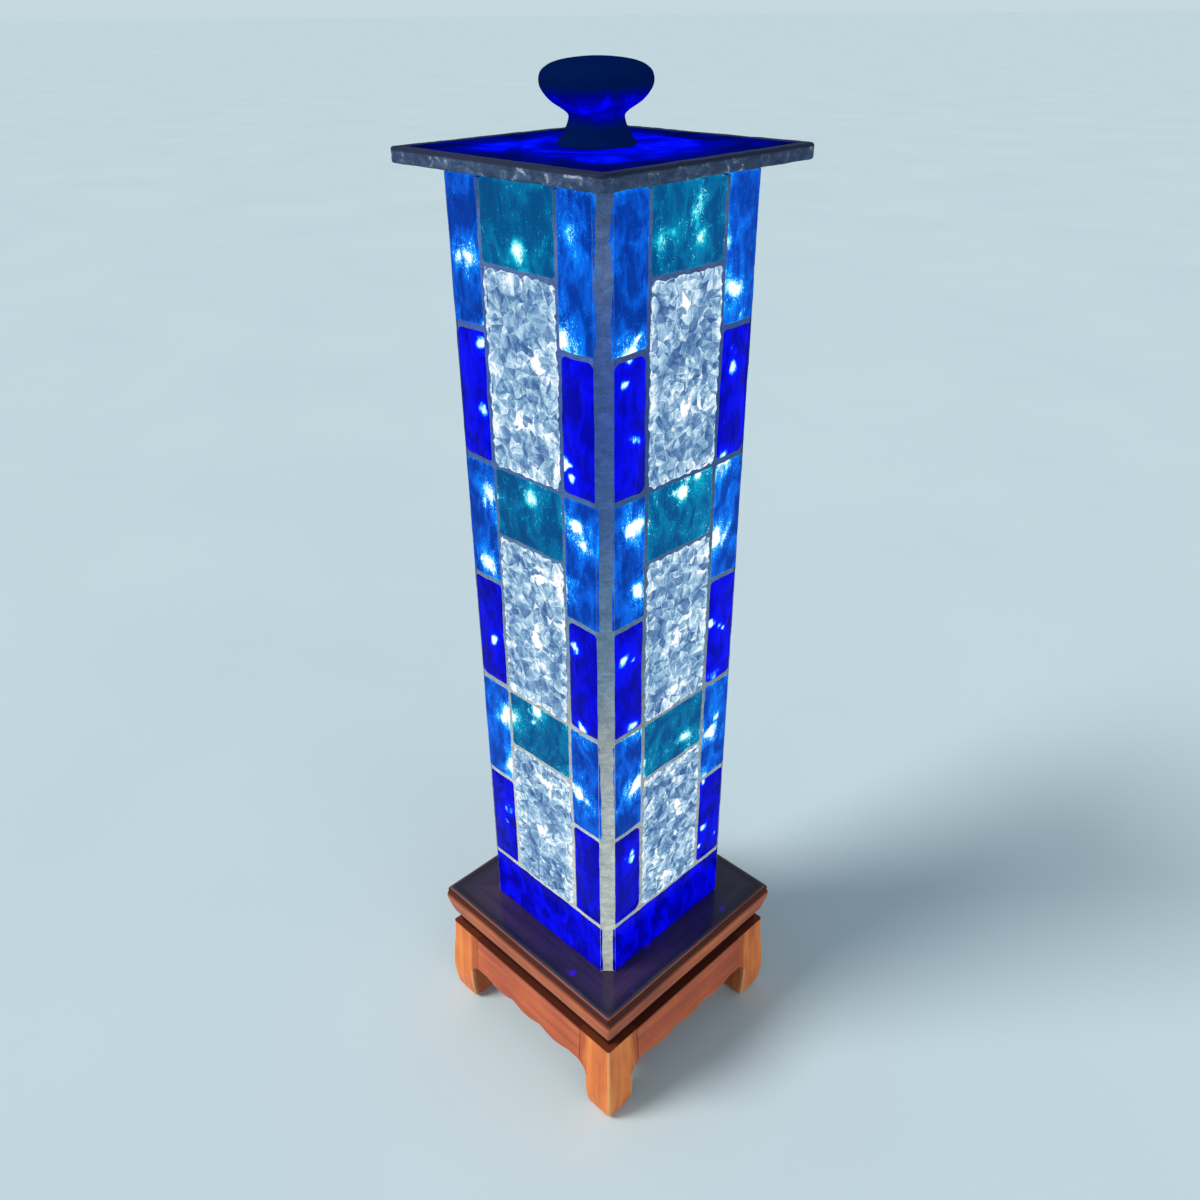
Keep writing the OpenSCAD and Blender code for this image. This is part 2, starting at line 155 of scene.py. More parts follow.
class Shape:
    """Points, faces and per-point layers of one piece, gathered part by part."""

    def __init__(self):
        self.points, self.faces, self.layers, self.count = [], [], {}, 0

    def add(self, points, faces, **layers):
        points = np.asarray(points, float).reshape(-1, 3)
        self.faces += [[i + self.count for i in face] for face in faces]
        self.points.append(points)
        self.count += len(points)
        for name, values in layers.items():
            self.layers.setdefault(name, []).append(np.asarray(values, float))

    def piece(self, name, body, slot, material, nodes, degrees=0.0, crease=38.0):
        """The finished object, riding on its body in place of its frame nodes."""
        mesh = bpy.data.meshes.new(name)
        mesh.from_pydata(turned(np.concatenate(self.points), degrees), [], self.faces)
        for layer, parts in self.layers.items():
            values = np.concatenate(parts)
            vector = values.ndim == 2
            kind = "FLOAT_VECTOR" if vector else "FLOAT"
            attribute = mesh.attributes.new(layer, kind, "POINT")
            attribute.data.foreach_set("vector" if vector else "value", values.ravel())
        mesh.validate()
        bm = bmesh.new()
        bm.from_mesh(mesh)
        bmesh.ops.recalc_face_normals(bm, faces=bm.faces)
        bm.to_mesh(mesh)
        bm.free()
        mesh.polygons.foreach_set("use_smooth", np.full(len(mesh.polygons), crease > 0))
        if crease > 0:
            mesh.set_sharp_from_angle(angle=math.radians(crease))
        made = linked(name, mesh)
        mesh.materials.append(material)
        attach(made, body)
        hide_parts(*nodes)
        return made


def grid_faces(rows, cols):
    index = np.arange(rows * cols).reshape(rows, cols)
    return np.stack([index[:-1, :-1], index[:-1, 1:], index[1:, 1:], index[1:, :-1]],
                    -1).reshape(-1, 4).tolist()


def border(rows, cols):
    """Indices round the edge of a grid, in order."""
    index = np.arange(rows * cols).reshape(rows, cols)
    return np.concatenate([index[0, :-1], index[:-1, -1], index[-1, :0:-1], index[:0:-1, 0]])


def walled(front, faces, ring, axis, level):
    """A sheet made solid: walls from its ring of edge points to a flat back at a level."""
    back = front[ring].copy()
    back[:, axis] = level
    start, count = len(front), len(ring)
    walls = [[ring[(i + 1) % count], ring[i], start + i, start + (i + 1) % count]
             for i in range(count)]
    end = [list(range(start + count - 1, start - 1, -1))]
    return np.concatenate([front, back]), faces + walls + end


def loft(rings, closed=False):
    """Faces through rings of points, (rings, points, 3), with flat ends unless closed."""
    count, around = rings.shape[:2]
    i, j = np.meshgrid(np.arange(count if closed else count - 1), np.arange(around), indexing="ij")
    nxt, side = (i + 1) % count, (j + 1) % around
    faces = np.stack([i * around + j, i * around + side, nxt * around + side,
                      nxt * around + j], -1).reshape(-1, 4).tolist()
    if not closed:
        faces += [list(range(around - 1, -1, -1)),
                  list(range((count - 1) * around, count * around))]
    return faces


def rounded_ring(corners, radii, along, arc=4):
    """Closed 2D ring through corners with rounded turns; along points on every straight."""
    corners = np.asarray(corners, float)
    turns = []
    for i, corner in enumerate(corners):
        before = corners[i - 1] - corner
        after = corners[(i + 1) % len(corners)] - corner
        u, v = before / np.hypot(*before), after / np.hypot(*after)
        half = math.acos(np.clip(u @ v, -1, 1)) / 2
        reach = radii[i] / math.tan(half)
        centre = corner + (u + v) / np.hypot(*(u + v)) * radii[i] / math.sin(half)
        start, end = corner + u * reach - centre, corner + v * reach - centre
        a0, a1 = math.atan2(start[1], start[0]), math.atan2(end[1], end[0])
        sweep = (a1 - a0 + math.pi) % (2 * math.pi) - math.pi
        angles = a0 + sweep * np.linspace(0, 1, arc + 1)
        turns.append(centre + radii[i] * np.stack([np.cos(angles), np.sin(angles)], 1))
    points = []
    for i, turn in enumerate(turns):
        end, start = turn[-1], turns[(i + 1) % len(turns)][0]
        share = np.linspace(0, 1, along[i] + 2)[1:-1, None]
        points += [turn, end + (start - end) * share]
    return np.concatenate(points)


def square_ring(half, radius, along):
    corners = [[half, -half], [half, half], [-half, half], [-half, -half]]
    return rounded_ring(corners, [radius] * 4, [along] * 4)


# ---------- material nodes ----------

class Nodes:
    """Short calls for the nodes round one Principled shader."""

    def __init__(self, name, **settings):
        self.material = bpy.data.materials.new(name)
        self.material.use_nodes = True
        self.tree = self.material.node_tree
        self.shader = self.tree.nodes["Principled BSDF"]
        for socket, value in settings.items():
            self.feed(self.shader.inputs[socket.replace("_", " ")], value)

    def feed(self, socket, value):
        if isinstance(value, bpy.types.NodeSocket):
            self.tree.links.new(value, socket)
        else:
            socket.default_value = value

    def set(self, socket, value):
        self.feed(self.shader.inputs[socket], value)

    def add(self, kind, inputs, **settings):
        node = self.tree.nodes.new("ShaderNode" + kind)
        for name, value in settings.items():
            setattr(node, name, value)
        for socket, value in inputs.items():
            self.feed(node.inputs[socket], value)
        return node

    def place(self, stretch=(1, 1, 1)):
        """Object coordinates, stretched; a share below 1 makes features longer that way."""
        coordinates = self.add("TexCoord", {}).outputs["Object"]
        return self.scaled(coordinates, stretch)

    def scaled(self, vector, stretch):
        return self.add("VectorMath", {0: vector, 1: stretch}, operation="MULTIPLY").outputs[0]

    def layer(self, name, output="Fac"):
        return self.add("Attribute", {}, attribute_name=name).outputs[output]

    def noise(self, vector, size, detail=2.0, roughness=0.5, distortion=0.0):
        node = self.add("TexNoise", {"Vector": vector, "Scale": 1 / size, "Detail": detail,
                                     "Roughness": roughness, "Distortion": distortion})
        return node.outputs["Fac"]

    def cells(self, vector, size, feature="F1"):
        return self.add("TexVoronoi", {"Vector": vector, "Scale": 1 / size}, feature=feature)

    def texture(self, size, *settings):
        """Noise in object coordinates."""
        return self.noise(self.place(), size, *settings)

    def calc(self, operation, a, b=0.0):
        return self.add("Math", {0: a, 1: b}, operation=operation).outputs[0]

    def times(self, a, b):
        return self.calc("MULTIPLY", a, b)

    def total(self, *terms):
        """Sum of (value, weight) pairs and plain numbers."""
        result = 0.0
        for term in terms:
            if isinstance(term, tuple):
                term = self.times(term[0], term[1])
            result = self.calc("ADD", result, term)
        return result

    def remap(self, value, low, high, to_low=0.0, to_high=1.0):
        node = self.add("MapRange", {"Value": value, "From Min": low, "From Max": high,
                                     "To Min": to_low, "To Max": to_high},
                        interpolation_type="SMOOTHSTEP")
        return node.outputs["Result"]

    def ramp(self, value, stops):
        node = self.add("ValToRGB", {"Fac": value})
        elements = node.color_ramp.elements
        while len(elements) < len(stops):
            elements.new(0.5)
        for element, (position, colour) in zip(elements, stops):
            element.position = position
            element.color = (*colour, 1)
        return node.outputs["Color"]

    def mix(self, share, a, b, blend="MIX"):
        node = self.add("Mix", {}, data_type="RGBA", blend_type=blend)
        for index, value in ((0, share), (6, a), (7, b)):
            if isinstance(value, tuple) and len(value) == 3:
                value = (*value, 1)
            self.feed(node.inputs[index], value)
        return node.outputs[2]

    def spots(self, vector, size, share, radius):
        """Small soft round spots in some of the cells, 0 elsewhere."""
        node = self.cells(vector, size)
        pick = self.add("SeparateColor", {"Color": node.outputs["Color"]}).outputs["Red"]
        inside = self.remap(node.outputs["Distance"], 0.3 * radius, radius, 1, 0)
        return self.times(inside, self.calc("GREATER_THAN", pick, 1 - share))

    def facets(self, vector, size):
        """Crisp-edged patches, each with its own level (-1 to 1) and its own slope."""
        cell = self.cells(vector, size)
        split = self.add("SeparateColor", {"Color": cell.outputs["Color"]})
        away = self.add("VectorMath", {0: vector, 1: cell.outputs["Position"]},
                        operation="SUBTRACT").outputs[0]
        lean = self.add("VectorMath", {0: cell.outputs["Color"], 1: (0.5, 0.5, 0.5)},
                        operation="SUBTRACT").outputs[0]
        slope = self.add("VectorMath", {0: away, 1: lean}, operation="DOT_PRODUCT")
        return self.total((split.outputs["Red"], 1.2), (slope.outputs["Value"], 2.4 / size), -0.6)

    def ridges(self, vector, size, width, distortion=1.5):
        """Thin curved lines, as light makes through rippled glass."""
        level = self.noise(vector, size, 1.0, 0.4, distortion)
        return self.remap(self.calc("ABSOLUTE", self.calc("SUBTRACT", level, 0.5)), 0, width, 1, 0)

    def relief(self, height, strength, distance):
        """The finished material, with this fine relief."""
        node = self.add("Bump", {"Height": height, "Strength": strength, "Distance": distance})
        self.set("Normal", node.outputs["Normal"])
        return self.material

    def along(self, axis="Z"):
        """Distance along one axis."""
        return self.add("SeparateXYZ", {"Vector": self.place()}).outputs[axis]

    def rising(self, low, high):
        """0 at a low height to 1 at a high one, evenly."""
        height = self.remap(self.along(), low, high)
        height.node.interpolation_type = "LINEAR"
        return height

    def glow(self, colour):
        # Painted light: glass that is no lamp glows with this emission, standing for the bulbs'
        # light shining through it.
        self.set("Emission Color", colour)
        self.set("Emission Strength", 1.0)
        self.material.cycles.emission_sampling = "NONE"


# ---------- glass materials ----------

AZURE = [(0.0, (0.0, 0.012, 0.16)), (0.32, (0.0, 0.045, 0.38)), (0.55, (0.002, 0.12, 0.75)),
         (0.74, (0.0, 0.32, 1.0)), (0.87, (0.08, 0.8, 1.0)), (1.0, (1.0, 1.0, 1.0))]
COBALT = [(0.0, (0.0, 0.0, 0.12)), (0.3, (0.0, 0.0, 0.38)), (0.52, (0.0, 0.001, 0.8)),
          (0.74, (0.0, 0.004, 1.0)), (0.86, (0.02, 0.4, 1.0)), (0.93, (0.5, 0.95, 1.0)),
          (1.0, (1.0, 1.0, 1.0))]
TEAL = [(0.0, (0.0, 0.03, 0.12)), (0.34, (0.0, 0.08, 0.25)), (0.56, (0.0, 0.19, 0.4)),
        (0.74, (0.0, 0.5, 0.66)), (0.88, (0.25, 0.93, 0.97)), (1.0, (1.0, 1.0, 1.0))]
CLEAR = [(0.0, (0.03, 0.09, 0.27)), (0.28, (0.1, 0.22, 0.42)), (0.5, (0.25, 0.44, 0.62)),
         (0.68, (0.5, 0.7, 0.84)), (0.84, (0.86, 0.94, 0.98)), (1.0, (1.0, 1.0, 1.0))]


def lit_glass(kind, stops, base, streak, mottle, halo, rim, lit_seeds, core, veins=0.0, lines=0.0):
    """Coloured glass lit from behind: mottles, fine bright seeds and the lights' glow."""
    nodes = Nodes(f"{kind}_glass", Roughness=0.12, IOR=1.5, Specular_IOR_Level=0.03)
    fine = nodes.remap(nodes.noise(nodes.place((1, 1, 0.3)), 2.2 * MM, 4.0, 0.6, 0.6), 0.34, 0.66)
    slow = nodes.remap(nodes.noise(nodes.place((1, 1, 0.6)), 9 * MM, 3.0, 0.5, 0.8), 0.34, 0.66)
    grain = nodes.remap(nodes.noise(nodes.place((1, 1, 0.6)), 0.5 * MM, 2.0, 0.6), 0.53, 0.63)
    ragged = nodes.noise(nodes.place((1, 1, 0.6)), 2.4 * MM, 3.0, 0.6, 0.5)
    haze = nodes.layer("halo")
    light = nodes.times(nodes.layer("core"), nodes.total((ragged, 1.6), 0.2))
    # Painted light: fine bright grains, thickest in the lights' haze and along vein lines, stand
    # for seeds in the glass catching the light.
    seeded = nodes.total((haze, 0.8), (nodes.ridges(nodes.place(), 11 * MM, 0.05), veins), 0.06)
    # The rim layer is painted edge light: the glow is brighter along tile edges, darker on cobalt
    # and base tiles.
    level = nodes.total(
        base - 0.5 * (streak + mottle), (fine, streak), (slow, mottle),
        (nodes.times(haze, nodes.total((fine, 0.5), (slow, 0.3), 0.6)), halo),
        (nodes.layer("rim"), rim), (nodes.layer("tone"), 0.06),
        (nodes.times(grain, seeded), lit_seeds), (light, core))
    nodes.set("Base Color", nodes.ramp(level, [(at, tuple(0.1 * c for c in colour))
                                               for at, colour in (stops[0], stops[2])]))
    if lines:
        thread = nodes.ridges(nodes.place(), 8 * MM, 0.012)
        level = nodes.total(level, (nodes.times(thread, haze), lines))
    nodes.glow(nodes.ramp(level, stops))
    nodes.set("Roughness", nodes.remap(slow, 0.3, 0.7, 0.06, 0.16))
    return nodes.relief(nodes.total((fine, 0.5), (slow, 1.0)), 0.35, 0.4 * MM)


LIT_GLASS = {
    "azure": dict(stops=AZURE, base=0.37, streak=0.1, mottle=0.28, halo=0.42, rim=0.14, lit_seeds=0.55,
                  core=1.0, veins=0.35),
    "cobalt": dict(stops=COBALT, base=0.37, streak=0.02, mottle=0.26, halo=0.14, rim=-0.12,
                   lit_seeds=0.1, core=0.85),
    "teal": dict(stops=TEAL, base=0.33, streak=0.05, mottle=0.22, halo=0.3, rim=0.1, lit_seeds=0.36,
                 core=0.95, veins=0.8, lines=0.25),
    "base": dict(stops=COBALT, base=0.4, streak=0.02, mottle=0.3, halo=0.06, rim=-0.08,
                 lit_seeds=0.12, core=0.0, veins=0.3),
}


def clear_glass():
    """Crumpled clear glass: each facet catches its own share of the light behind it."""
    nodes = Nodes("clear_glass", Roughness=0.08, IOR=1.5, Specular_IOR_Level=0.1)
    split = nodes.add("SeparateColor", {"Color": nodes.layer("facet", "Color")})
    shade, core, halo = (split.outputs[c] for c in ("Red", "Green", "Blue"))
    shift = nodes.add("TexNoise", {"Vector": nodes.place(), "Scale": 1 / (7 * MM),
                                   "Detail": 1.0}).outputs["Color"]
    bent = nodes.add("VectorMath", {0: nodes.place(), 1: nodes.scaled(shift, (0.008,) * 3)},
                     operation="ADD").outputs[0]
    shard = 4.6 * MM
    large, small = nodes.facets(bent, shard), nodes.facets(bent, 2.2 * MM)
    edge = nodes.cells(bent, shard, "DISTANCE_TO_EDGE").outputs["Distance"]
    creases = nodes.remap(edge, 0.0, 0.06, 1, 0)
    swirl = nodes.ridges(nodes.place(), 5 * MM, 0.016, 2.5)
    fine = nodes.texture(0.9 * MM, 3.0, 0.6, 0.6)
    lit = nodes.total((halo, 0.9), 0.25)
    burst = nodes.remap(nodes.total((core, 1.6), (halo, 0.75), (large, 0.5), (shade, 0.35),
                                    (small, 0.15), -0.75), 0.25, 0.5)
    # The rim layer is painted edge light: the glow is brighter along the chipped edges.
    level = nodes.total(
        0.14, (shade, 0.4), (large, 0.26), (small, 0.12), (fine, 0.1), (halo, 0.36),
        (nodes.times(creases, lit), 0.3), (nodes.times(swirl, lit), 0.4),
        (nodes.layer("rim"), 0.22), (burst, 0.6))
    nodes.glow(nodes.ramp(level, CLEAR))
    nodes.set("Base Color", (0.02, 0.03, 0.05, 1))
    return nodes.relief(nodes.total((fine, 0.5), (large, 0.4)), 0.5, 0.4 * MM)


def lid_blue_glass():
    nodes = Nodes("lid_blue_glass", Roughness=0.3, IOR=1.5, Specular_IOR_Level=0.0)
    # Painted light: random brighter blue patches and the lit middle stand for the lights below
    # showing through the glass.
    patch = nodes.texture(22 * MM, 3.0, 0.45, 0.8)
    slow = nodes.texture(6 * MM, 3.0, 0.6)
    level = nodes.total((nodes.remap(patch, 0.36, 0.62), 0.36), (slow, 0.14), -0.02,
                        (nodes.layer("lit"), 0.45))
    nodes.glow(nodes.ramp(level, [(0.0, (0.0, 0.0, 0.045)), (0.35, (0.0, 0.001, 0.14)),
                                  (0.6, (0.0, 0.0, 0.42)), (0.85, (0.0, 0.002, 0.95)),
                                  (1.0, (0.01, 0.03, 1.0))]))
    nodes.set("Base Color", (0.0, 0.002, 0.03, 1))
    return nodes.relief(slow, 0.2, 0.3 * MM)


def knob_blue_glass(low, high):
    """Dark over the crown, glowing under it and in the neck."""
    nodes = Nodes("knob_blue_glass", Roughness=0.45, IOR=1.5, Specular_IOR_Level=0.0)
    height = nodes.rising(low, high)
    slow = nodes.noise(nodes.place((1, 1, 0.5)), 9 * MM, 3.0, 0.5, 0.8)
    grain = nodes.texture(0.45 * MM, 2.0, 0.7)
    # Painted light: the glow under the crown and in the neck stands for the lights below shining up
    # into the knob.
    under = nodes.times(nodes.remap(height, 0.16, 0.42),
                       nodes.remap(height, 0.52, 0.74, 1, 0))
    streak = nodes.remap(slow, 0.35, 0.68)
    level = nodes.total((under, 0.55), (nodes.times(under, streak), 0.5),
                        (grain, 0.08), 0.02)
    nodes.glow(nodes.ramp(level, [(0.0, (0.0, 0.004, 0.045)), (0.14, (0.0, 0.005, 0.06)),
                                  (0.55, (0.0, 0.0, 0.2)), (0.85, (0.0, 0.0, 0.55)),
                                  (1.0, (0.0, 0.0, 0.95))]))
    nodes.set("Base Color", nodes.ramp(grain, [(0.35, (0.0, 0.002, 0.012)),
                                               (0.75, (0.001, 0.01, 0.045))]))
    nodes.set("Roughness", nodes.remap(grain, 0.3, 0.7, 0.3, 0.5))
    return nodes.relief(grain, 0.3, 0.15 * MM)


def vase_glass():
    nodes = Nodes("vase_glass", Roughness=0.02, IOR=1.46, Transmission_Weight=1.0)
    slow = nodes.texture(14 * MM, 2.0)
    nodes.set("Base Color", nodes.ramp(slow, [(0.3, (0.86, 0.93, 0.93)),
                                              (0.7, (0.95, 0.98, 0.98))]))
    return nodes.relief(slow, 0.1, 0.4 * MM)


# ---------- other materials ----------

GROUT_TINTS = [(0.06, (0.68, 0.68, 0.6)), (0.25, (0.57, 0.59, 0.57)), (0.38, (0.41, 0.44, 0.44)),
               (0.47, (0.23, 0.31, 0.41)), (0.56, (0.15, 0.23, 0.345)), (0.68, (0.065, 0.14, 0.33)),
               (0.77, (0.055, 0.11, 0.36)), (0.88, (0.07, 0.13, 0.36)), (0.98, (0.13, 0.2, 0.37))]


def grout_paste():
    """Pale grey grout that the blue light tints higher up; pits and trowel smears."""
    nodes = Nodes("grout_paste", Roughness=0.85, Specular_IOR_Level=0.2)
    height = nodes.rising(*CORNER_Z)
    slow = nodes.noise(nodes.place((1, 1, 0.4)), 12 * MM, 4.0, 0.6, 0.5)
    grain = nodes.texture(0.7 * MM, 4.0, 0.7)
    smear = nodes.noise(nodes.place((0.6, 0.6, 1.3)), 3.5 * MM, 3.0, 0.6, 0.6)
    colour = nodes.ramp(nodes.total(height, (slow, 0.12), -0.06), GROUT_TINTS)
    dirt_and_shade = nodes.ramp(nodes.total((grain, 0.5), (smear, 0.5)),
                      [(0.36, (0.65, 0.65, 0.68)), (0.5, (0.97, 0.97, 0.97)),
                       (0.64, (1.35, 1.32, 1.27))])
    nodes.set("Base Color", nodes.mix(1.0, colour, dirt_and_shade, "MULTIPLY"))
    nodes.set("Roughness", nodes.remap(smear, 0.3, 0.7, 0.7, 0.95))
    return nodes.relief(nodes.total((grain, 0.7), (smear, 0.6)), 0.7, 0.4 * MM)


def lid_band_grout():
    """Slate-grey edge with pale smears; its top is stained dark like the glass."""
    nodes = Nodes("lid_band_grout", Roughness=0.75, Specular_IOR_Level=0.3)
    grain = nodes.texture(0.7 * MM, 4.0, 0.7)
    smear = nodes.noise(nodes.place((1, 1, 1.6)), 7 * MM, 4.0, 0.65, 0.8)
    smear = nodes.total((smear, 0.8), (grain, 0.2))
    grey = nodes.ramp(smear, [(0.34, (0.012, 0.026, 0.075)), (0.5, (0.035, 0.065, 0.14)),
                              (0.58, (0.075, 0.12, 0.21)), (0.65, (0.45, 0.48, 0.55))])
    dark = nodes.ramp(grain, [(0.3, (0.001, 0.004, 0.025)), (0.7, (0.006, 0.014, 0.055))])
    nodes.set("Base Color", nodes.mix(nodes.layer("top"), grey, dark))
    nodes.set("Roughness", nodes.remap(grain, 0.3, 0.7, 0.55, 0.85))
    return nodes.relief(nodes.total((grain, 0.8), (smear, 0.5)), 0.6, 0.35 * MM)


POLISHED = 0.3


def varnished_wood(name, dark, middle, light, gloss, carved=True):
    """Fine-grained hardwood under thin varnish, with the grain along each part."""
    nodes = Nodes(name, IOR=1.5, Specular_IOR_Level=0.12 if gloss < POLISHED else 0.35,
                  Coat_Weight=gloss, Coat_Roughness=0.12)
    along = nodes.layer("grain", "Vector") if carved else nodes.place()
    bands = nodes.noise(nodes.scaled(along, (0.07, 1, 1)), 8 * MM, 3.0, 0.5, 1.0)
    fibres = nodes.noise(nodes.scaled(along, (0.04, 1, 1)), 0.8 * MM, 3.0, 0.6, 0.2)
    pores = nodes.remap(nodes.noise(nodes.scaled(along, (0.06, 1, 1)), 0.42 * MM, 1.0, 0.5),
                        0.64, 0.76)
    cloud = nodes.texture(30 * MM, 2.0, 0.5)
    level = nodes.total((bands, 0.75), (fibres, 0.25), (cloud, 0.45), -0.22,
                        (nodes.layer("join"), -0.3))
    colour = nodes.ramp(level, [(0.26, dark), (0.5, middle), (0.74, light)])
    colour = nodes.mix(nodes.times(pores, 0.35), colour, tuple(c * 0.5 for c in dark))
    if carved:
        # Edges are lightened partly for real wear and partly as a painted highlight along arrises,
        # ridges and the apron hems.
        worn_and_lit = nodes.times(nodes.layer("wear"), nodes.remap(fibres, 0.3, 0.6, 0.4, 1))
        colour = nodes.mix(nodes.times(worn_and_lit, 0.7), colour,
                           tuple(min(0.95, c * 1.2 + 0.12) for c in light))
        # Painted shade: recesses, hidden inner faces and undersides are darkened towards a third of
        # the dark colour.
        colour = nodes.mix(nodes.layer("grime"), colour, tuple(c * 0.3 for c in dark))
    # Painted light: the polished board top gets soft violet-blue spots in its base colour, standing
    # for the tiles' light falling on it.
    if gloss > POLISHED:
        lights = nodes.spots(nodes.place(), 15 * MM, 0.4, 0.17)
        colour = nodes.mix(nodes.times(lights, 0.8), colour, (0.06, 0.0, 0.8))
    nodes.set("Base Color", colour)
    nodes.set("Roughness", nodes.remap(fibres, 0.3, 0.7, 0.36, 0.55))
    return nodes.relief(nodes.total((fibres, 0.5), (bands, 0.4), (pores, -0.6)), 0.25, 0.2 * MM)


def moulded(name, colour, roughness, metallic=0.0):
    """Plain plastic or metal with a fine texture and slight unevenness."""
    nodes = Nodes(name, Roughness=roughness, Metallic=metallic)
    slow = nodes.texture(12 * MM, 3.0)
    grain = nodes.texture(0.5 * MM, 3.0, 0.6)
    nodes.set("Base Color", nodes.ramp(nodes.total((slow, 0.6), (grain, 0.4)),
                                       [(0.3, tuple(c * 0.82 for c in colour)),
                                        (0.7, tuple(min(1, c * 1.1) for c in colour))]))
    nodes.set("Roughness", nodes.remap(grain, 0.3, 0.7, roughness - 0.08, roughness + 0.1))
    return nodes.relief(grain, 0.2, 0.08 * MM)


def clear_acrylic():
    nodes = Nodes("clear_acrylic", Roughness=0.06, IOR=1.49, Transmission_Weight=0.92)
    slow = nodes.texture(6 * MM, 3.0)
    nodes.set("Base Color", nodes.ramp(slow, [(0.3, (0.8, 0.88, 0.9)), (0.7, (0.92, 0.97, 0.98))]))
    return nodes.relief(slow, 0.15, 0.2 * MM)


def bulb_glow():
    nodes = Nodes("bulb_glow", Roughness=0.2)
    slow = nodes.texture(1.5 * MM, 2.0)
    nodes.set("Base Color", (0.8, 0.86, 0.9, 1))
    nodes.set("Emission Color", nodes.ramp(slow, [(0.3, (0.55, 0.8, 1.0)), (0.6, (1, 1, 1))]))
    nodes.set("Emission Strength", 2.5)
    return nodes.relief(slow, 0.2, 0.2 * MM)


def cell_sleeve():
    """Printed-film sleeve with a brass-coloured end band."""
    nodes = Nodes("cell_sleeve", Roughness=0.3, Metallic=0.2)
    band = nodes.remap(nodes.calc("ABSOLUTE", nodes.along("X")), 14 * MM, 14.6 * MM)
    grain = nodes.texture(2 * MM, 3.0)
    nodes.set("Base Color", nodes.mix(band, nodes.ramp(grain, [(0.3, (0.015, 0.016, 0.02)),
                                                               (0.7, (0.03, 0.032, 0.038))]),
                                      nodes.ramp(grain, [(0.3, (0.42, 0.27, 0.1)),
                                                         (0.7, (0.55, 0.38, 0.16))])))
    return nodes.relief(grain, 0.1, 0.1 * MM)


# ---------- the lights as seen through each side ----------

BULB_DEPTH = 20 * MM
DIM_TOP = 30 * MM


def light_spots():
    """Spots on each side (x, z, radius, power, tilt, stretch), near the bulbs behind it.

    Only bulbs at least BULB_DEPTH out on that side count, and those within DIM_TOP of the
    vase's mouth are half as strong.
    """
    centres = np.array([(low + high) / 2 for low, high in islands("light_bulbs")])
    spots = {}
    for side, degrees in SIDES.items():
        draw = np.random.default_rng(SEED + int(degrees))
        rows = []
        for x, y, z in turned(centres, -degrees):
            if y > -BULB_DEPTH:
                continue
            x += draw.normal(0, 3.5 * MM)
            z += draw.normal(0, 3 * MM)
            power = draw.uniform(0.6, 1.15) * (0.5 if z > VASE_TOP - DIM_TOP else 1)
            rows.append((x, z, draw.uniform(4.5, 6.5) * MM, power, draw.uniform(0, math.pi),
                         draw.uniform(1, 1.7)))
            for _ in range(draw.integers(1, 4)):
                rows.append((x + draw.normal(0, 5 * MM), z + draw.normal(0, 6 * MM),
                             draw.uniform(1.8, 3.6) * MM, power * draw.uniform(0.6, 1.0),
                             draw.uniform(0, math.pi), draw.uniform(1, 2.2)))
        spots[side] = rows
    return spots


SPOTS = light_spots()


def glow_at(side, x, z):
    """How strongly the lights show at points of a side: their cores, and the haze round them."""
    core, haze = np.zeros(x.shape), np.zeros(x.shape)
    x, z = (p + 1.3 * MM * flat_noise(x, z, 3.5 * MM, SEED + k) for k, p in enumerate((x, z)))
    for sx, sz, radius, power, tilt, stretch in SPOTS[side]:
        dx, dz = x - sx, z - sz
        u = (dx * math.cos(tilt) + dz * math.sin(tilt)) * stretch
        v = dz * math.cos(tilt) - dx * math.sin(tilt)
        away = np.hypot(u, v) / radius
        core = np.maximum(core, power * np.clip(1 - away, 0, None))
        haze += power * np.exp(-(away / 1.8) ** 2)
    return core, 1 - np.exp(-0.8 * haze)


# ---------- tiles ----------

Tile = namedtuple("Tile", "kind x z a b turn radii tone")
Finish = namedtuple("Finish", "radius arris dome ripple size")
FINISHES = {
    "azure": Finish((0.5, 2.2), 0.9, 0.1, 0.16, (3, 9)),
    "cobalt": Finish((0.9, 4.6), 1.4, 0.4, 0.08, (6, 11)),
    "teal": Finish((0.7, 3.0), 0.9, 0.1, 0.2, (4, 5)),
    "base": Finish((0.3, 0.9), 0.8, 0.1, 0.08, (7, 7)),
    "clear": Finish((0.8, 2.6), 0.9, 0.0, 0.5, (3, 3)),
}
EDGE_ROWS = np.array([0, 0.2, 0.45, 0.8, 1.2, 1.8]) * MM
TILE_STEP = 1.15 * MM


def side_tiles(side, degrees):
    """Every tile on a side, with its own small size, turn and corner differences."""
    draw = np.random.default_rng(SEED * 3 + int(degrees))
    tiles = []
    for kind, nodes in (("base", [f"base_tile_{side}"]), ("cobalt", [f"cobalt_tiles_{side}"]),
                        ("azure", [f"azure_tiles_{side}"]), ("teal", [f"teal_tiles_{side}"]),
                        ("clear", [f"clear_tile_{side}_{k}" for k in (1, 2, 3)])):
        for node in nodes:
            for low, high in sorted(islands(node), key=lambda ends: tuple(ends[0])):
                x0, x1, z0, z1 = as_front(low, high, degrees)
                radii = tuple(draw.uniform(*FINISHES[kind].radius, 4) * MM)
                tiles.append(Tile(
                    kind, (x0 + x1) / 2, (z0 + z1) / 2,
                    (x1 - x0) / 2 + draw.uniform(0.05, 0.45) * MM,
                    (z1 - z0) / 2 + draw.uniform(0.05, 0.45) * MM,
                    math.radians(draw.uniform(-0.35, 0.35)) * (kind != "base"),
                    radii, draw.uniform(-1, 1)))
    return tiles


TILES = {side: side_tiles(side, degrees) for side, degrees in SIDES.items()}


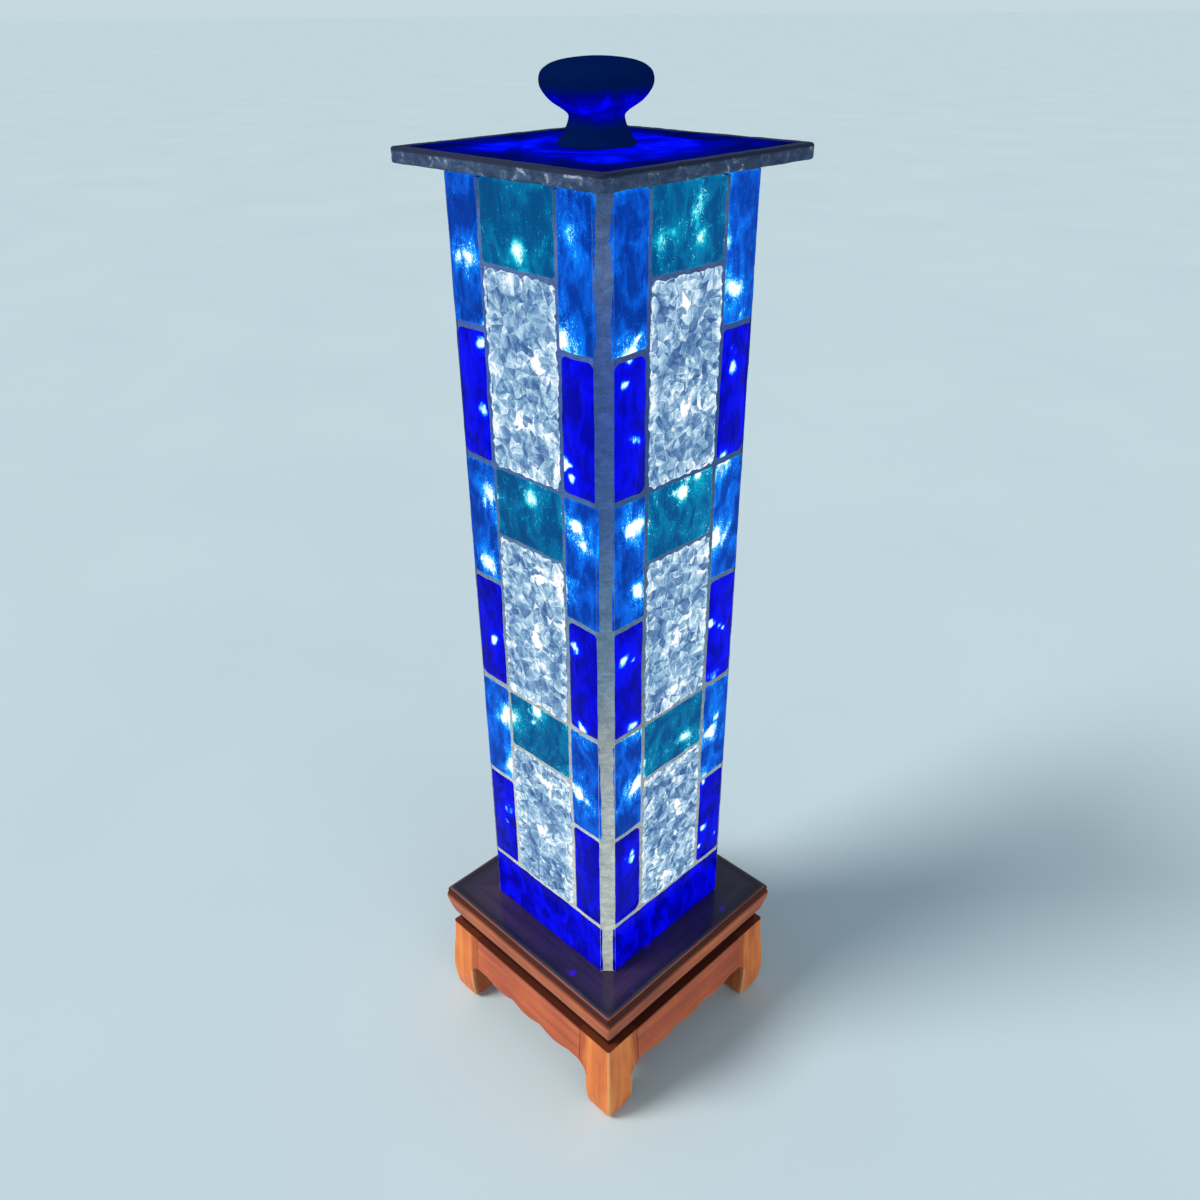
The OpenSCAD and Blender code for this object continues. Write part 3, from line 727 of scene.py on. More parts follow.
def corner_frame(tile, u, v):
    """The nearest corner's radius, and how far each point lies past that corner's centre."""
    r = np.array(tile.radii)[(u > 0) + 2 * (v > 0)]
    return r, np.abs(u) - (tile.a - r), np.abs(v) - (tile.b - r)


def inside(tile, x, z):
    """How far points lie inside a tile's outline; negative outside it."""
    c, s = math.cos(tile.turn), math.sin(tile.turn)
    u, v = (x - tile.x) * c + (z - tile.z) * s, (z - tile.z) * c - (x - tile.x) * s
    r, qx, qz = corner_frame(tile, u, v)
    return r - np.hypot(np.maximum(qx, 0), np.maximum(qz, 0)) - np.minimum(np.maximum(qx, qz), 0)


def wander(side, x, z):
    """The small shared waviness of tile edges and joints on a side."""
    seed = SEED + len(side) * 7
    fixed = ease(VASE_HALF - np.abs(x), 0, 6 * MM)
    return (x + 0.55 * MM * flat_noise(x, z, 9 * MM, seed) * fixed,
            z + 0.55 * MM * flat_noise(x, z, 9 * MM, seed + 1))


def ruled(half):
    """Positions from -half to half, closer together at both ends."""
    inner = half - EDGE_ROWS[-1]
    count = max(2, math.ceil(2 * inner / TILE_STEP))
    middle = np.linspace(-inner, inner, count + 1)[1:-1]
    return np.concatenate([-half + EDGE_ROWS, middle, half - EDGE_ROWS[::-1]])


def add_tile(shape, side, tile):
    """A rippled tile with a rounded arris, walls down to the vase and a flat back."""
    finish = FINISHES[tile.kind]
    u, v = np.meshgrid(ruled(tile.a), ruled(tile.b))
    r, qx, qz = corner_frame(tile, u, v)
    corner = (qx > 0) & (qz > 0)
    largest, away = np.maximum(qx, qz), np.hypot(qx, qz)
    pull = np.where(corner, largest / np.maximum(away, 1e-9), 1)
    depth = np.where(corner, r - largest, np.minimum(tile.a - np.abs(u), tile.b - np.abs(v)))
    u = np.where(corner, np.sign(u) * (tile.a - r + qx * pull), u)
    v = np.where(corner, np.sign(v) * (tile.b - r + qz * pull), v)
    c, s = math.cos(tile.turn), math.sin(tile.turn)
    x, z = tile.x + u * c - v * s, tile.z + u * s + v * c
    arris = finish.arris * MM
    drop = arris * (1 - np.sqrt(1 - np.clip(1 - depth / arris, 0, 1) ** 2))
    size = (finish.size[0] * MM, finish.size[1] * MM)
    seed = SEED + int(tile.z * 9000) + int(tile.x * 900)
    ripple = finish.ripple * MM * (flat_noise(x, z, size, seed, 3) - 0.6) * ease(depth, 0, arris)
    crown = finish.dome * MM * (1 - ease(depth, 0, 7 * MM))
    core, halo = glow_at(side, x, z)
    x, z = wander(side, x, z)
    front = np.stack([x, -(FACE_Y - drop - crown + ripple), z], -1)
    ring = border(*x.shape)
    layers = {"core": core, "halo": halo, "rim": ease(depth, 1.3 * MM, 0.1 * MM),
              "tone": np.full(x.shape, tile.tone)}
    layers = {k: np.concatenate([w.ravel(), w.ravel()[ring]]) for k, w in layers.items()}
    shape.add(*walled(front.reshape(-1, 3), grid_faces(*x.shape), ring, 1, -VASE_HALF), **layers)


def tile_piece(side, kind, material, slot, name):
    shape = Shape()
    for tile in TILES[side]:
        if tile.kind == kind:
            add_tile(shape, side, tile)
    shape.piece(name, "lantern", slot, material, [name], SIDES[side], crease=50)


def clear_outline(tile, draw):
    """Points round a clear tile, nibbled inwards as chipped glass is."""
    points = []
    for half, other, turn in ((tile.b, tile.a, 0), (tile.a, tile.b, 1),
                              (tile.b, tile.a, 2), (tile.a, tile.b, 3)):
        count = int(2 * half / (1.7 * MM))
        for i in range(count):
            along = -half + 2 * half * (i + draw.uniform(-0.3, 0.3) * (i > 0)) / count
            wave = 0.5 + 0.5 * math.sin(along / MM * 0.9 + 2.1 * turn + 9 * other)
            nibble = abs(draw.normal(0, 0.45)) + 0.5 * wave + 0.6 * (draw.random() < 0.15)
            reach = other + (0.25 - min(nibble, 1.5)) * MM
            near = max(0.0, abs(along) - (half - 2.5 * MM)) / (2.5 * MM)
            reach -= 1.5 * MM * near ** 2
            across, up = (reach, along) if turn % 2 == 0 else (-along, reach)
            points.append((across, up) if turn < 2 else (-across, -up))
    return points


def clear_piece(side, index, tile, material):
    """A clear tile broken into sharp facets, each with its own brightness."""
    name = f"clear_tile_{side}_{index}"
    draw = np.random.default_rng(SEED + 97 * index + int(SIDES[side]))
    outline = clear_outline(tile, draw)
    rim = len(outline)
    pitch = 4.2 * MM
    points = list(outline)
    for i in range(int(2 * tile.a / pitch)):
        for j in range(int(2 * tile.b / pitch)):
            x = -tile.a + pitch * (i + 0.5 + draw.uniform(-0.48, 0.48))
            z = -tile.b + pitch * (j + 0.5 + draw.uniform(-0.48, 0.48))
            if max(abs(x) - tile.a, abs(z) - tile.b) < -1.9 * MM and draw.random() < 0.8:
                points.append((x, z))
    edges = [(i, (i + 1) % rim) for i in range(rim)]
    verts, _, faces, *_ = delaunay_2d_cdt([Vector(p) for p in points], edges, [], 1, 1e-6)
    flat = np.array(verts)
    x, z = wander(side, tile.x + flat[:, 0], tile.z + flat[:, 1])
    relief = draw.uniform(-1.1, 0.0, len(flat)) * MM
    relief[:rim] = draw.uniform(-0.28, -0.02, rim) * MM
    front = np.stack([x, -(FACE_Y + relief), z], 1)
    faces = [list(face) for face in faces]
    edge = np.concatenate([np.where(np.arange(len(front)) < rim, 1.0, 0.0), np.ones(rim)])
    shape = Shape()
    shape.add(*walled(front, faces, np.arange(rim), 1, -VASE_HALF), rim=edge)
    made = shape.piece(name, "lantern", "clear_tile_glass", material, [name], SIDES[side], 0)
    facet_layer(made.data, side, draw)


def facet_layer(mesh, side, draw):
    """Each facet's sloping brightness and the light behind it, as a colour on its corners."""
    centres = np.array([p.center for p in mesh.polygons])
    sizes = np.array([p.loop_total for p in mesh.polygons])
    corners = np.empty(len(mesh.loops), int)
    mesh.loops.foreach_get("vertex_index", corners)
    places = np.array([v.co for v in mesh.vertices])[corners]
    middle = np.repeat(centres, sizes, axis=0)
    local = turned(0.5 * (places + middle), -SIDES[side])
    core, halo = glow_at(side, local[:, 0], local[:, 2])
    shade = np.repeat(draw.uniform(0, 1, len(centres)), sizes)
    shade = np.clip(shade + draw.uniform(-0.5, 0.5, len(shade)), 0, 1)
    rows = np.stack([shade, core, halo, np.ones(len(shade))], 1)
    layer = mesh.color_attributes.new("facet", "FLOAT_COLOR", "CORNER")
    layer.data.foreach_set("color", rows.ravel())


# ---------- grout ----------

UNDERLAP = {"clear": 1.6 * MM, "cobalt": 0.6 * MM}
GROUT_STEP = 0.75 * MM


def cover(side, x, z):
    """How far points lie under the edge of the nearest tile, past its allowed underlap."""
    depth = np.full(x.shape, -1.0)
    for tile in TILES[side]:
        depth = np.maximum(depth, inside(tile, x, z) - UNDERLAP.get(tile.kind, 0.5 * MM))
    return depth


def grout_piece(side, material):
    """Grout between one side's tiles: a pitted sheet with a hole for every tile."""
    low, high = GROUT_Z
    x, z = np.meshgrid(np.arange(-VASE_HALF, VASE_HALF + 1e-6, GROUT_STEP * 0.997),
                       np.arange(low, high, GROUT_STEP))
    depth = cover(side, x, z)
    open_cell = np.minimum(np.minimum(depth[:-1, :-1], depth[:-1, 1:]),
                           np.minimum(depth[1:, :-1], depth[1:, 1:])) < 0
    step = 0.1 * MM
    slope_x = (cover(side, x + step, z) - depth) / step
    slope_z = (cover(side, x, z + step) - depth) / step
    over = np.clip(depth, 0, 1.2 * MM)
    x, z = x - slope_x * over, z - slope_z * over
    hollow = 0.22 * ease(-depth, 0.4 * MM, 1.3 * MM)
    pits = 0.4 * ease(flat_noise(x, z, 2.6 * MM, SEED + 5), 0.5, 0.75)
    rough = 0.12 * flat_noise(x, z, 1.6 * MM, SEED + 6)
    out = GROUT_Y + (rough - hollow - pits) * MM
    x, z = wander(side, x, z)
    rows, cols = x.shape
    quads = np.array(grid_faces(rows, cols))[open_cell.ravel()]
    used, compact = np.unique(quads, return_inverse=True)
    quads = compact.reshape(-1, 4)
    front = np.stack([x, -out, z], -1).reshape(-1, 3)[used]
    back = front.copy()
    back[:, 1] = -VASE_HALF
    count = len(front)
    pairs = np.concatenate([quads[:, [i, (i + 1) % 4]] for i in range(4)])
    known = {tuple(pair) for pair in pairs.tolist()}
    walls = [[a, b, b + count, a + count] for a, b in known if (b, a) not in known]
    faces = quads.tolist() + (quads[:, ::-1] + count).tolist() + sorted(walls)
    shape = Shape()
    shape.add(np.concatenate([front, back]), faces)
    name = f"grout_{side}"
    shape.piece(name, "lantern", "grout", material, [name], SIDES[side], crease=60)


def corner_grout(material):
    """Flat-troweled grout down each corner, lumpier near the lid."""
    low, high = CORNER_Z
    z = np.arange(low, high + 0.4 * MM, 0.8 * MM)
    share = np.linspace(0, 1, 14)
    shape = Shape()
    for number, degrees in enumerate(CORNERS.values()):
        seed = SEED + 40 + number
        zeros = np.zeros_like(z)
        left = VASE_HALF - 0.35 * MM + 0.45 * MM * flat_noise(zeros, z, 9 * MM, seed, 3)
        right = VASE_HALF - 0.35 * MM + 0.45 * MM * flat_noise(zeros, z, 9 * MM, seed + 9, 3)
        start = np.stack([left, np.full_like(z, -FACE_Y + 0.1 * MM), z], -1)
        end = np.stack([np.full_like(z, FACE_Y - 0.1 * MM), -right, z], -1)
        face = start[:, None] + (end - start)[:, None] * share[None, :, None]
        place = np.stack([np.broadcast_to(share * 7 * MM, face.shape[:2]), face[..., 2]], -1)
        upper = 0.15 + 1.1 * ease(face[..., 2], high - 90 * MM, high - 25 * MM)
        lump = flat_noise(place[..., 0], place[..., 1], (4 * MM, 6 * MM), seed + 20, 3)
        pit = ease(flat_noise(place[..., 0], place[..., 1], 3.4 * MM, seed + 21), 0.42, 0.62)
        middle = np.sin(np.pi * share) ** 0.6
        sink = middle * (0.25 + 0.12 * lump + upper * (0.5 * lump + 0.6 * pit)) * MM
        face += sink[..., None] * np.array([-1, 1, 0]) * math.sqrt(0.5)
        inner = np.stack([np.full_like(z, VASE_HALF), np.full_like(z, -VASE_HALF), z], -1)
        rings = np.concatenate([inner[:, None], face], 1)
        shape.add(turned(rings.reshape(-1, 3), degrees), loft(rings))
    shape.piece("grout_corners", "lantern", "grout", material, ["grout_corners"], crease=70)


# ---------- lid ----------

def lid_band(material):
    """Hand-finished edge round the lid: rounded, pitted and a little uneven."""
    low, high = box("lid_edge_band")
    inner = box("lid_glass")[1][0]
    half, base, top = high[0], low[2], high[2]
    section = rounded_ring([[inner - 0.6 * MM, base], [half, base], [half, top],
                            [inner - 0.6 * MM, top]],
                           [0.3 * MM, 1.3 * MM, 1.1 * MM, 0.8 * MM], [4, 5, 4, 2])
    rings = []
    for reach, z in section:
        loop = square_ring(reach, max(0.3 * MM, reach - half + 3.4 * MM), 120)
        rings.append(np.column_stack([loop, np.full(len(loop), z)]))
    rings = np.array(rings)
    flat = rings.reshape(-1, 3)
    outward = np.column_stack([flat[:, :2] / np.abs(flat[:, :2]).max(1)[:, None],
                               np.zeros(len(flat))])
    reach = np.abs(flat[:, :2]).max(1)
    lump = smooth_noise(flat, 7 * MM, SEED + 60, 3)
    pit = ease(smooth_noise(flat, 4.5 * MM, SEED + 61), 0.46, 0.66)
    push = (0.35 * lump - 0.15 - 0.7 * pit) * ease(reach, half - 1.6 * MM, half) * MM
    top_dip = 0.16 * MM * smooth_noise(flat, 5 * MM, SEED + 62) - 0.16 * MM
    flat = flat + outward * push[:, None]
    is_top = ease(flat[:, 2], top - 1.7 * MM, top - 0.9 * MM)
    flat[:, 2] += top_dip * is_top
    bottom = ease(-flat[:, 2], -base - 0.8 * MM, -base)
    flat[:, 2] += bottom * 0.3 * MM * (1 + smooth_noise(flat, 6 * MM, SEED + 63))
    shape = Shape()
    shape.add(flat, loft(rings, closed=True), top=is_top)
    shape.piece("lid_edge_band", "lid", "lid_grout", material, ["lid_edge_band"], crease=60)


def lid_plate(material):
    """The lid's dark blue glass, slightly wavy, with light coming through near the middle."""
    low, high = box("lid_glass")
    half, base, top = high[0], low[2], high[2]
    steps = np.linspace(-half, half, 90)
    x, y = np.meshgrid(steps, steps)
    wave = 0.3 * MM * flat_noise(x, y, 12 * MM, SEED + 70, 3) - 0.3 * MM
    z = top + wave * ease(half - np.maximum(np.abs(x), np.abs(y)), 0, 3 * MM)
    front = np.stack([x, y, z], -1).reshape(-1, 3)
    ring = border(*x.shape)
    reach = np.maximum(np.abs(x), np.abs(y)).ravel()
    lit = ease(reach, 45 * MM, 34 * MM)
    shape = Shape()
    shape.add(*walled(front, grid_faces(*x.shape), ring, 2, base),
              lit=np.concatenate([lit, lit[ring]]))
    shape.piece("lid_glass", "lid", "lid_glass", material, ["lid_glass"], crease=50)


KNOB_OUTLINE = [(0.70, 0), (0.72, 0.015), (0.69, 0.05), (0.63, 0.10), (0.59, 0.145), (0.56, 0.19),
                (0.53, 0.235), (0.508, 0.28), (0.495, 0.33), (0.515, 0.365), (0.57, 0.40),
                (0.65, 0.437), (0.74, 0.475), (0.82, 0.517), (0.88, 0.56), (0.93, 0.605),
                (0.97, 0.65), (0.992, 0.695), (1, 0.74), (0.993, 0.78), (0.975, 0.82),
                (0.94, 0.855), (0.89, 0.885), (0.82, 0.915), (0.72, 0.942), (0.6, 0.963),
                (0.45, 0.98), (0.3, 0.991), (0.16, 0.998), (0.05, 1)]


def smooth_curve(points, steps):
    """Catmull-Rom points through a 2D outline."""
    points = np.array(points, float)
    padded = np.concatenate([[2 * points[0] - points[1]], points, [2 * points[-1] - points[-2]]])
    made = []
    for i in range(1, len(padded) - 2):
        a, b, c, d = padded[i - 1:i + 3]
        for t in np.linspace(0, 1, steps, endpoint=False):
            made.append(0.5 * (2 * b + (c - a) * t + (2 * a - 5 * b + 4 * c - d) * t ** 2
                               + (3 * b - a - 3 * c + d) * t ** 3))
    return np.array(made + [points[-1]])


def knob(material):
    """Turned knob with a slightly uneven surface."""
    low, high = box("lid_knob")
    centre, radius = (low + high) / 2, (high[0] - low[0]) / 2
    angles = np.linspace(0, 2 * math.pi, 96, endpoint=False)
    outline = smooth_curve(KNOB_OUTLINE, 3)
    rings = np.array([[[centre[0] + r * radius * math.cos(a), centre[1] + r * radius * math.sin(a),
                        low[2] + h * (high[2] - low[2])] for a in angles] for r, h in outline])
    flat = rings.reshape(-1, 3)
    uneven = 1 + 0.006 * smooth_noise(flat, 14 * MM, SEED + 80)
    flat[:, :2] = centre[:2] + (flat[:, :2] - centre[:2]) * np.minimum(uneven, 1)[:, None]
    shape = Shape()
    shape.add(flat, loft(rings))
    shape.piece("lid_knob", "lid", "knob_glass", material, ["lid_knob"], crease=60)


# ---------- stand ----------

def mitred_grain(points, top):
    """Grain along each edge of a frame whose corners are mitred."""
    x, y, z = points.T
    by_side = np.abs(x) > np.abs(y)
    along = np.where(by_side, y, x)
    across = np.where(by_side, x, y)
    return np.stack([along + 0.7 * by_side * np.sign(x), across, z - top], 1)


def stand_board(material):
    """Moulded board: cyma edge, a bead near the top and softened arrises."""
    half, _, top = box("stand_top_board")[1]
    # Edge rows: inset, rise, lightening for wear and a painted highlight along the cyma and top
    # arris, and painted shade darkening the bead, the top near the edge and the underside.
    edge = [(3.4, -19.0, 0, 0.5), (2.9, -18.4, 0, 0.3), (2.6, -17.8, 0, 0.1), (2.1, -16.0, 0, 0),
            (1.6, -14.0, 0.1, 0), (1.0, -11.6, 0.1, 0), (0.5, -9.5, 0.15, 0), (0.15, -8.0, 0.2, 0),
            (0.0, -6.5, 0.3, 0), (0.05, -5.2, 0, 0.35), (0.3, -4.1, 0, 0.8), (0.95, -3.35, 0, 1),
            (1.05, -3.0, 0, 1), (0.75, -2.6, 0, 1), (0.6, -2.0, 0, 1), (0.72, -1.3, 0, 1),
            (1.2, -0.6, 0, 0.9), (1.8, -0.2, 0.5, 0.3), (2.6, 0.0, 0.3, 0.4), (4.0, 0.0, 0, 0.8)]
    steps = [(half / MM - 2, -19.0, 0, 0), (30, -19.0, 0, 0), (8, -19.0, 0, 0),
             (4.2, -19.0, 0, 0.2)] + edge
    steps += [(inset, 0.0, 0.0, 0.0) for inset in (8, 14, 19.5, 24, 34, 46, half / MM - 2)]
    shape, rings, wear, grime = Shape(), [], [], []
    for inset, rise, worn_and_lit, dirt_and_shade in steps:
        size = half - inset * MM
        ring = square_ring(size, min(1.4 * MM, size / 3), 60)
        rings.append(np.column_stack([ring, np.full(len(ring), top + rise * MM)]))
        wear += [worn_and_lit] * len(ring)
        grime += [dirt_and_shade] * len(ring)
    rings = np.array(rings)
    flat = rings.reshape(-1, 3)
    uneven = 0.12 * MM * smooth_noise(flat, 18 * MM, SEED + 90) - 0.1 * MM
    reach = np.abs(flat[:, :2]).max(1)
    scale = 1 + np.where(reach > half - 6 * MM, uneven / reach, 0)
    flat[:, :2] *= scale[:, None]
    shape.add(flat, loft(rings), grain=mitred_grain(flat, top), wear=wear, grime=grime)
    made = shape.piece("stand_top_board", "stand", "stand_wood", material["edge"],
                       ["stand_top_board"], crease=35)
    made.data.materials.append(material["top"])
    for face in made.data.polygons:
        if face.center[2] > top - 0.3 * MM and face.normal[2] > 0.9:
            face.material_index = 1


def waist_rails(material):
    """Plain rails set back under the board."""
    low, high = box("stand_waist_rails")
    half, thick = high[0], 10 * MM
    section = rounded_ring([[-half, low[2]], [-half, high[2]], [-half + thick, high[2]],
                            [-half + thick, low[2]]], [0.5 * MM] * 4, [5, 4, 3, 4])
    shape = Shape()
    start = -half + thick + 0.2 * MM
    stations = np.linspace(start, half, max(2, int((half - start) / (1.5 * MM))))
    rings = np.array([[(x, y, z) for y, z in section] for x in stations])
    flat = rings.reshape(-1, 3)
    # Painted shade: the rails in the recess under the board are darkened by 0.55 towards the shade
    # colour.
    for number, degrees in enumerate(SIDES.values(), 3):
        shape.add(turned(flat, degrees), loft(rings), wear=np.zeros(len(flat)),
                  grain=flat + np.array([0.31, 0.17, 0]) * number, grime=np.full(len(flat), 0.55))
    shape.piece("stand_waist_rails", "stand", "stand_wood", material, ["stand_waist_rails"])


# All in millimetres, apart from the power that sets where the swell is fullest
APRON_HALF, LEG_BULGE, LEG_H, SWELL_POWER = 62.5, 2.0, 54.0, 1.6
LEG_JOINT, FOOT_INNER, CUSP_Z, KNEE_H = 41.5, 46.5, 30.0, 7.0
SCALLOP_END, SCALLOP_PITCH, SCALLOP_D = 33.0, 22.0, 2.4
APRON_T, LEG_T, HEM, RUBBED = 11.0, 12.5, 1.2, 0.9
TOE_R, HOOF_Z, HOOF_LIP, FOOT_EASE = 5.0, 10.0, 1.5, 1.5


def swell(z):
    """Half-width of legs and aprons at a height, both in millimetres."""
    return APRON_HALF + LEG_BULGE * np.sin(np.pi * ((LEG_H - z) / LEG_H) ** SWELL_POWER)


def foot_inner(z):
    """Inner edge of a leg at a height: a knee under the apron, rounded back at the floor."""
    knee = math.sin(math.acos(1 - min(max((CUSP_Z - z) / KNEE_H, 0), 1)))
    hoof = math.asin(min(max((HOOF_Z - z) / (HOOF_Z - HOOF_LIP), 0), 1))
    lip = max(0.0, 1 - z / HOOF_LIP)
    return (LEG_JOINT + (FOOT_INNER - LEG_JOINT) * knee + FOOT_EASE * (1 - math.cos(hoof)) + lip)


def apron_bottom(x):
    """Height of the wavy lower edge of an apron, with its cusps a little softened."""
    wave = np.sqrt(np.cos(np.pi * x / SCALLOP_PITCH) ** 2 + 0.004) - 0.03
    return np.where(np.abs(x) >= SCALLOP_END, CUSP_Z, CUSP_Z - SCALLOP_D * np.clip(wave, 0, 1))


def apron(side, degrees, material):
    """Apron with a swelling face and scalloped lower edge."""
    stations = np.linspace(-LEG_JOINT, LEG_JOINT, 111)
    rings, wear, grime = [], [], []
    for x in stations:
        foot = float(apron_bottom(x))
        heights = np.linspace(LEG_H, foot + HEM, 12)
        outer = [(-swell(z), z) for z in heights]
        turn = [(-swell(foot + HEM) + HEM * (1 - math.cos(a)), foot + HEM * (1 - math.sin(a)))
                for a in np.radians([22, 45, 68, 90])]
        back = -APRON_HALF + APRON_T
        inner = [(back - 3, foot), (back - 0.8, foot), (back, foot + 0.8), (back, 40.0),
                 (back, LEG_H)]
        section = outer + turn + inner
        rings.append([(x, y, z) for y, z in section])
        # The rounded hem at the bottom edge is lightened for wear and a painted highlight; the top
        # face, under the board, gets full painted shade.
        wear += [0.2] + [0.0] * 10 + [0.2, 0.5, 0.6, 0.4, 0.1] + [0.0] * 5
        grime += [1.0] + [0.0] * 19 + [1.0]
    rings = np.array(rings) * MM
    flat = rings.reshape(-1, 3)
    flat[:, 1] += 0.1 * MM * (1 + smooth_noise(flat, 15 * MM, SEED + int(degrees)))
    grain = flat + np.array([0.3 + degrees / 170, 0.1, 0])
    shape = Shape()
    shape.add(flat, loft(rings), grain=grain, wear=wear, grime=grime)
    name = f"stand_apron_{side}"
    shape.piece(name, "stand", "stand_wood", material, [name], degrees, crease=50)


def leg(corner, degrees, material):
    """Corner leg: two swelling faces that meet in a ridge, a knee and a rounded toe."""
    heights = np.concatenate([[0, 0.12, 0.35, 0.7, 1.1, 1.5, 2.2, 3, 4, 5, 6.2, 7.5, 9, 11, 15,
                               19, 22], np.arange(23, 30.6, 0.75), np.arange(32, 54, 2),
                              [53.2, 54]])
    rings, wear, grime, join = [], [], [], []
    for z in heights:
        short = max(0.0, TOE_R - z)
        outer = float(swell(max(z, TOE_R))) - TOE_R + math.sqrt(TOE_R ** 2 - short ** 2)
        inner = foot_inner(z)
        notch = APRON_HALF - LEG_T
        corners = [[inner, -outer], [outer, -outer], [outer, -inner], [notch, -inner],
                   [notch, -notch], [inner, -notch]]
        ring = rounded_ring(corners, [0.9, 1.3, 0.9, 0.6, 1.0, 0.6], [12, 12, 5, 3, 3, 5])
        rings.append(np.column_stack([ring, np.full(len(ring), z)]))
        # The ridge and the lower outer edges are lightened for wear and a painted highlight; the
        # bottom of the toe for wear.
        ridge = np.abs(ring[:, 0] + ring[:, 1]) < RUBBED
        hem = np.hypot(ring[:, 0] - inner, ring[:, 1] + outer) < RUBBED
        hem |= np.hypot(ring[:, 0] - outer, ring[:, 1] + inner) < RUBBED
        hem &= z < CUSP_Z - 5
        low = float(ease(1.5 - z, 0, 1.5))
        wear += np.maximum(np.where(ridge, 0.8, np.where(hem, 0.9, 0.0)), 0.4 * low).tolist()
        # Painted shade: the inner faces below the apron are darkened by 0.45, and the top face
        # under the board fully.
        face = np.minimum(ring[:, 0], -ring[:, 1])
        hidden = (face < inner + 0.2) & (z < CUSP_Z)
        grime += np.where(hidden, 0.45, float(z > 53.9)).tolist()
        join += ease(-face, -49.5, -43).tolist()
    rings = np.array(rings) * MM
    flat = rings.reshape(-1, 3)
    uneven = smooth_noise(flat, 12 * MM, SEED + 7 + int(degrees)) - 1
    flat[:, :2] *= (1 + 0.0014 * uneven)[:, None]
    facing_x = flat[:, 0] + flat[:, 1] > 0
    across = np.where(facing_x, flat[:, 1], flat[:, 0])
    depth = np.where(facing_x, flat[:, 0], flat[:, 1])
    grain = np.stack([flat[:, 2] + degrees / 150, across + 0.4 * facing_x, depth], 1)
    shape = Shape()
    shape.add(flat, loft(rings), grain=grain, wear=wear, grime=grime, join=join)
    name = f"stand_leg_{corner}"
    shape.piece(name, "stand", "stand_wood", material, [name], degrees, crease=50)


# ---------- camera, lights and floor ----------

def camera():
    """The viewing angle: three-quarter from above, close to the object."""
    data = bpy.data.cameras.new("camera")
    data.lens, data.sensor_width = 30.96, 36.0
    data.clip_start, data.clip_end = 0.01, 200.0
    made = linked("camera", data)
    yaw, pitch, roll = (math.radians(a) for a in (45.36, 30.01, -0.585))
    ahead = Vector((-math.sin(yaw) * math.cos(pitch), math.cos(yaw) * math.cos(pitch),
                    -math.sin(pitch)))
    right = Vector((math.cos(yaw), math.sin(yaw), 0))
    up = right.cross(ahead)
    across = math.cos(roll) * right + math.sin(roll) * up
    upright = math.cos(roll) * up - math.sin(roll) * right
    matrix = Matrix((across, upright, -ahead)).transposed().to_4x4()
    matrix.translation = Vector((0.2984, -0.2983, 0.5090))
    made.matrix_world = matrix
    bpy.context.scene.camera = made


def surroundings():
    """Even pale light from above; at eye level it matches the floor, so no horizon shows."""
    world = bpy.data.worlds.new("surroundings")
    world.use_nodes = True
    tree = world.node_tree
    background = tree.nodes["Background"]
    coordinates = tree.nodes.new("ShaderNodeTexCoord")
    split = tree.nodes.new("ShaderNodeSeparateXYZ")
    ramp = tree.nodes.new("ShaderNodeValToRGB")
    tree.links.new(coordinates.outputs["Generated"], split.inputs["Vector"])
    tree.links.new(split.outputs["Z"], ramp.inputs["Fac"])
    tree.links.new(ramp.outputs["Color"], background.inputs["Color"])
    near, above = ramp.color_ramp.elements
    near.position, near.color = 0.06, (0.56, 0.69, 0.74, 1)
    above.position, above.color = 0.3, (0.25, 0.31, 0.35, 1)
    bpy.context.scene.world = world


def soft_sun(name, direction, strength, angle, colour):
    data = bpy.data.lights.new(name, "SUN")
    data.energy, data.angle, data.color = strength, math.radians(angle), colour
    made = linked(name, data)
    made.rotation_mode = "QUATERNION"
    made.rotation_quaternion = Vector(direction).to_track_quat("Z", "Y")


def studio():
    """Pale floor, pale surroundings and two soft lights."""
    bpy.context.scene.view_settings.view_transform = "Standard"
    surroundings()
    soft_sun("key", (-0.5, -1.0, 1.15), 2.4, 22, (1.0, 0.97, 0.93))
    soft_sun("fill", (1.2, -0.3, 0.6), 0.5, 40, (1.0, 0.95, 0.9))
    nodes = Nodes("pale_floor", Roughness=0.9, Specular_IOR_Level=0.1)
    slow = nodes.texture(0.3, 3.0)
    nodes.set("Base Color", nodes.ramp(slow, [(0.3, (0.60, 0.72, 0.77)),
                                              (0.7, (0.63, 0.75, 0.80))]))
    mesh = bpy.data.meshes.new("floor")
    bm = bmesh.new()
    bmesh.ops.create_circle(bm, cap_ends=True, radius=60.0, segments=96)
    bm.to_mesh(mesh)
    bm.free()
    floor = linked("floor", mesh)
    mesh.materials.append(nodes.material)


# ---------- everything together ----------

def tower():
    glass = {kind: lit_glass(kind, **look) for kind, look in LIT_GLASS.items()}
    clear, grout = clear_glass(), grout_paste()
    for side in SIDES:
        for kind, material in glass.items():
            name = f"base_tile_{side}" if kind == "base" else f"{kind}_tiles_{side}"
            tile_piece(side, kind, material, f"{kind}_tile_glass", name)
        clears = [tile for tile in TILES[side] if tile.kind == "clear"]
        for index, tile in enumerate(clears, 1):
            clear_piece(side, index, tile, clear)
        grout_piece(side, grout)
    corner_grout(grout)


def lid():
    low, high = box("lid_knob")
    lid_band(lid_band_grout())
    lid_plate(lid_blue_glass())
    knob(knob_blue_glass(low[2], high[2]))


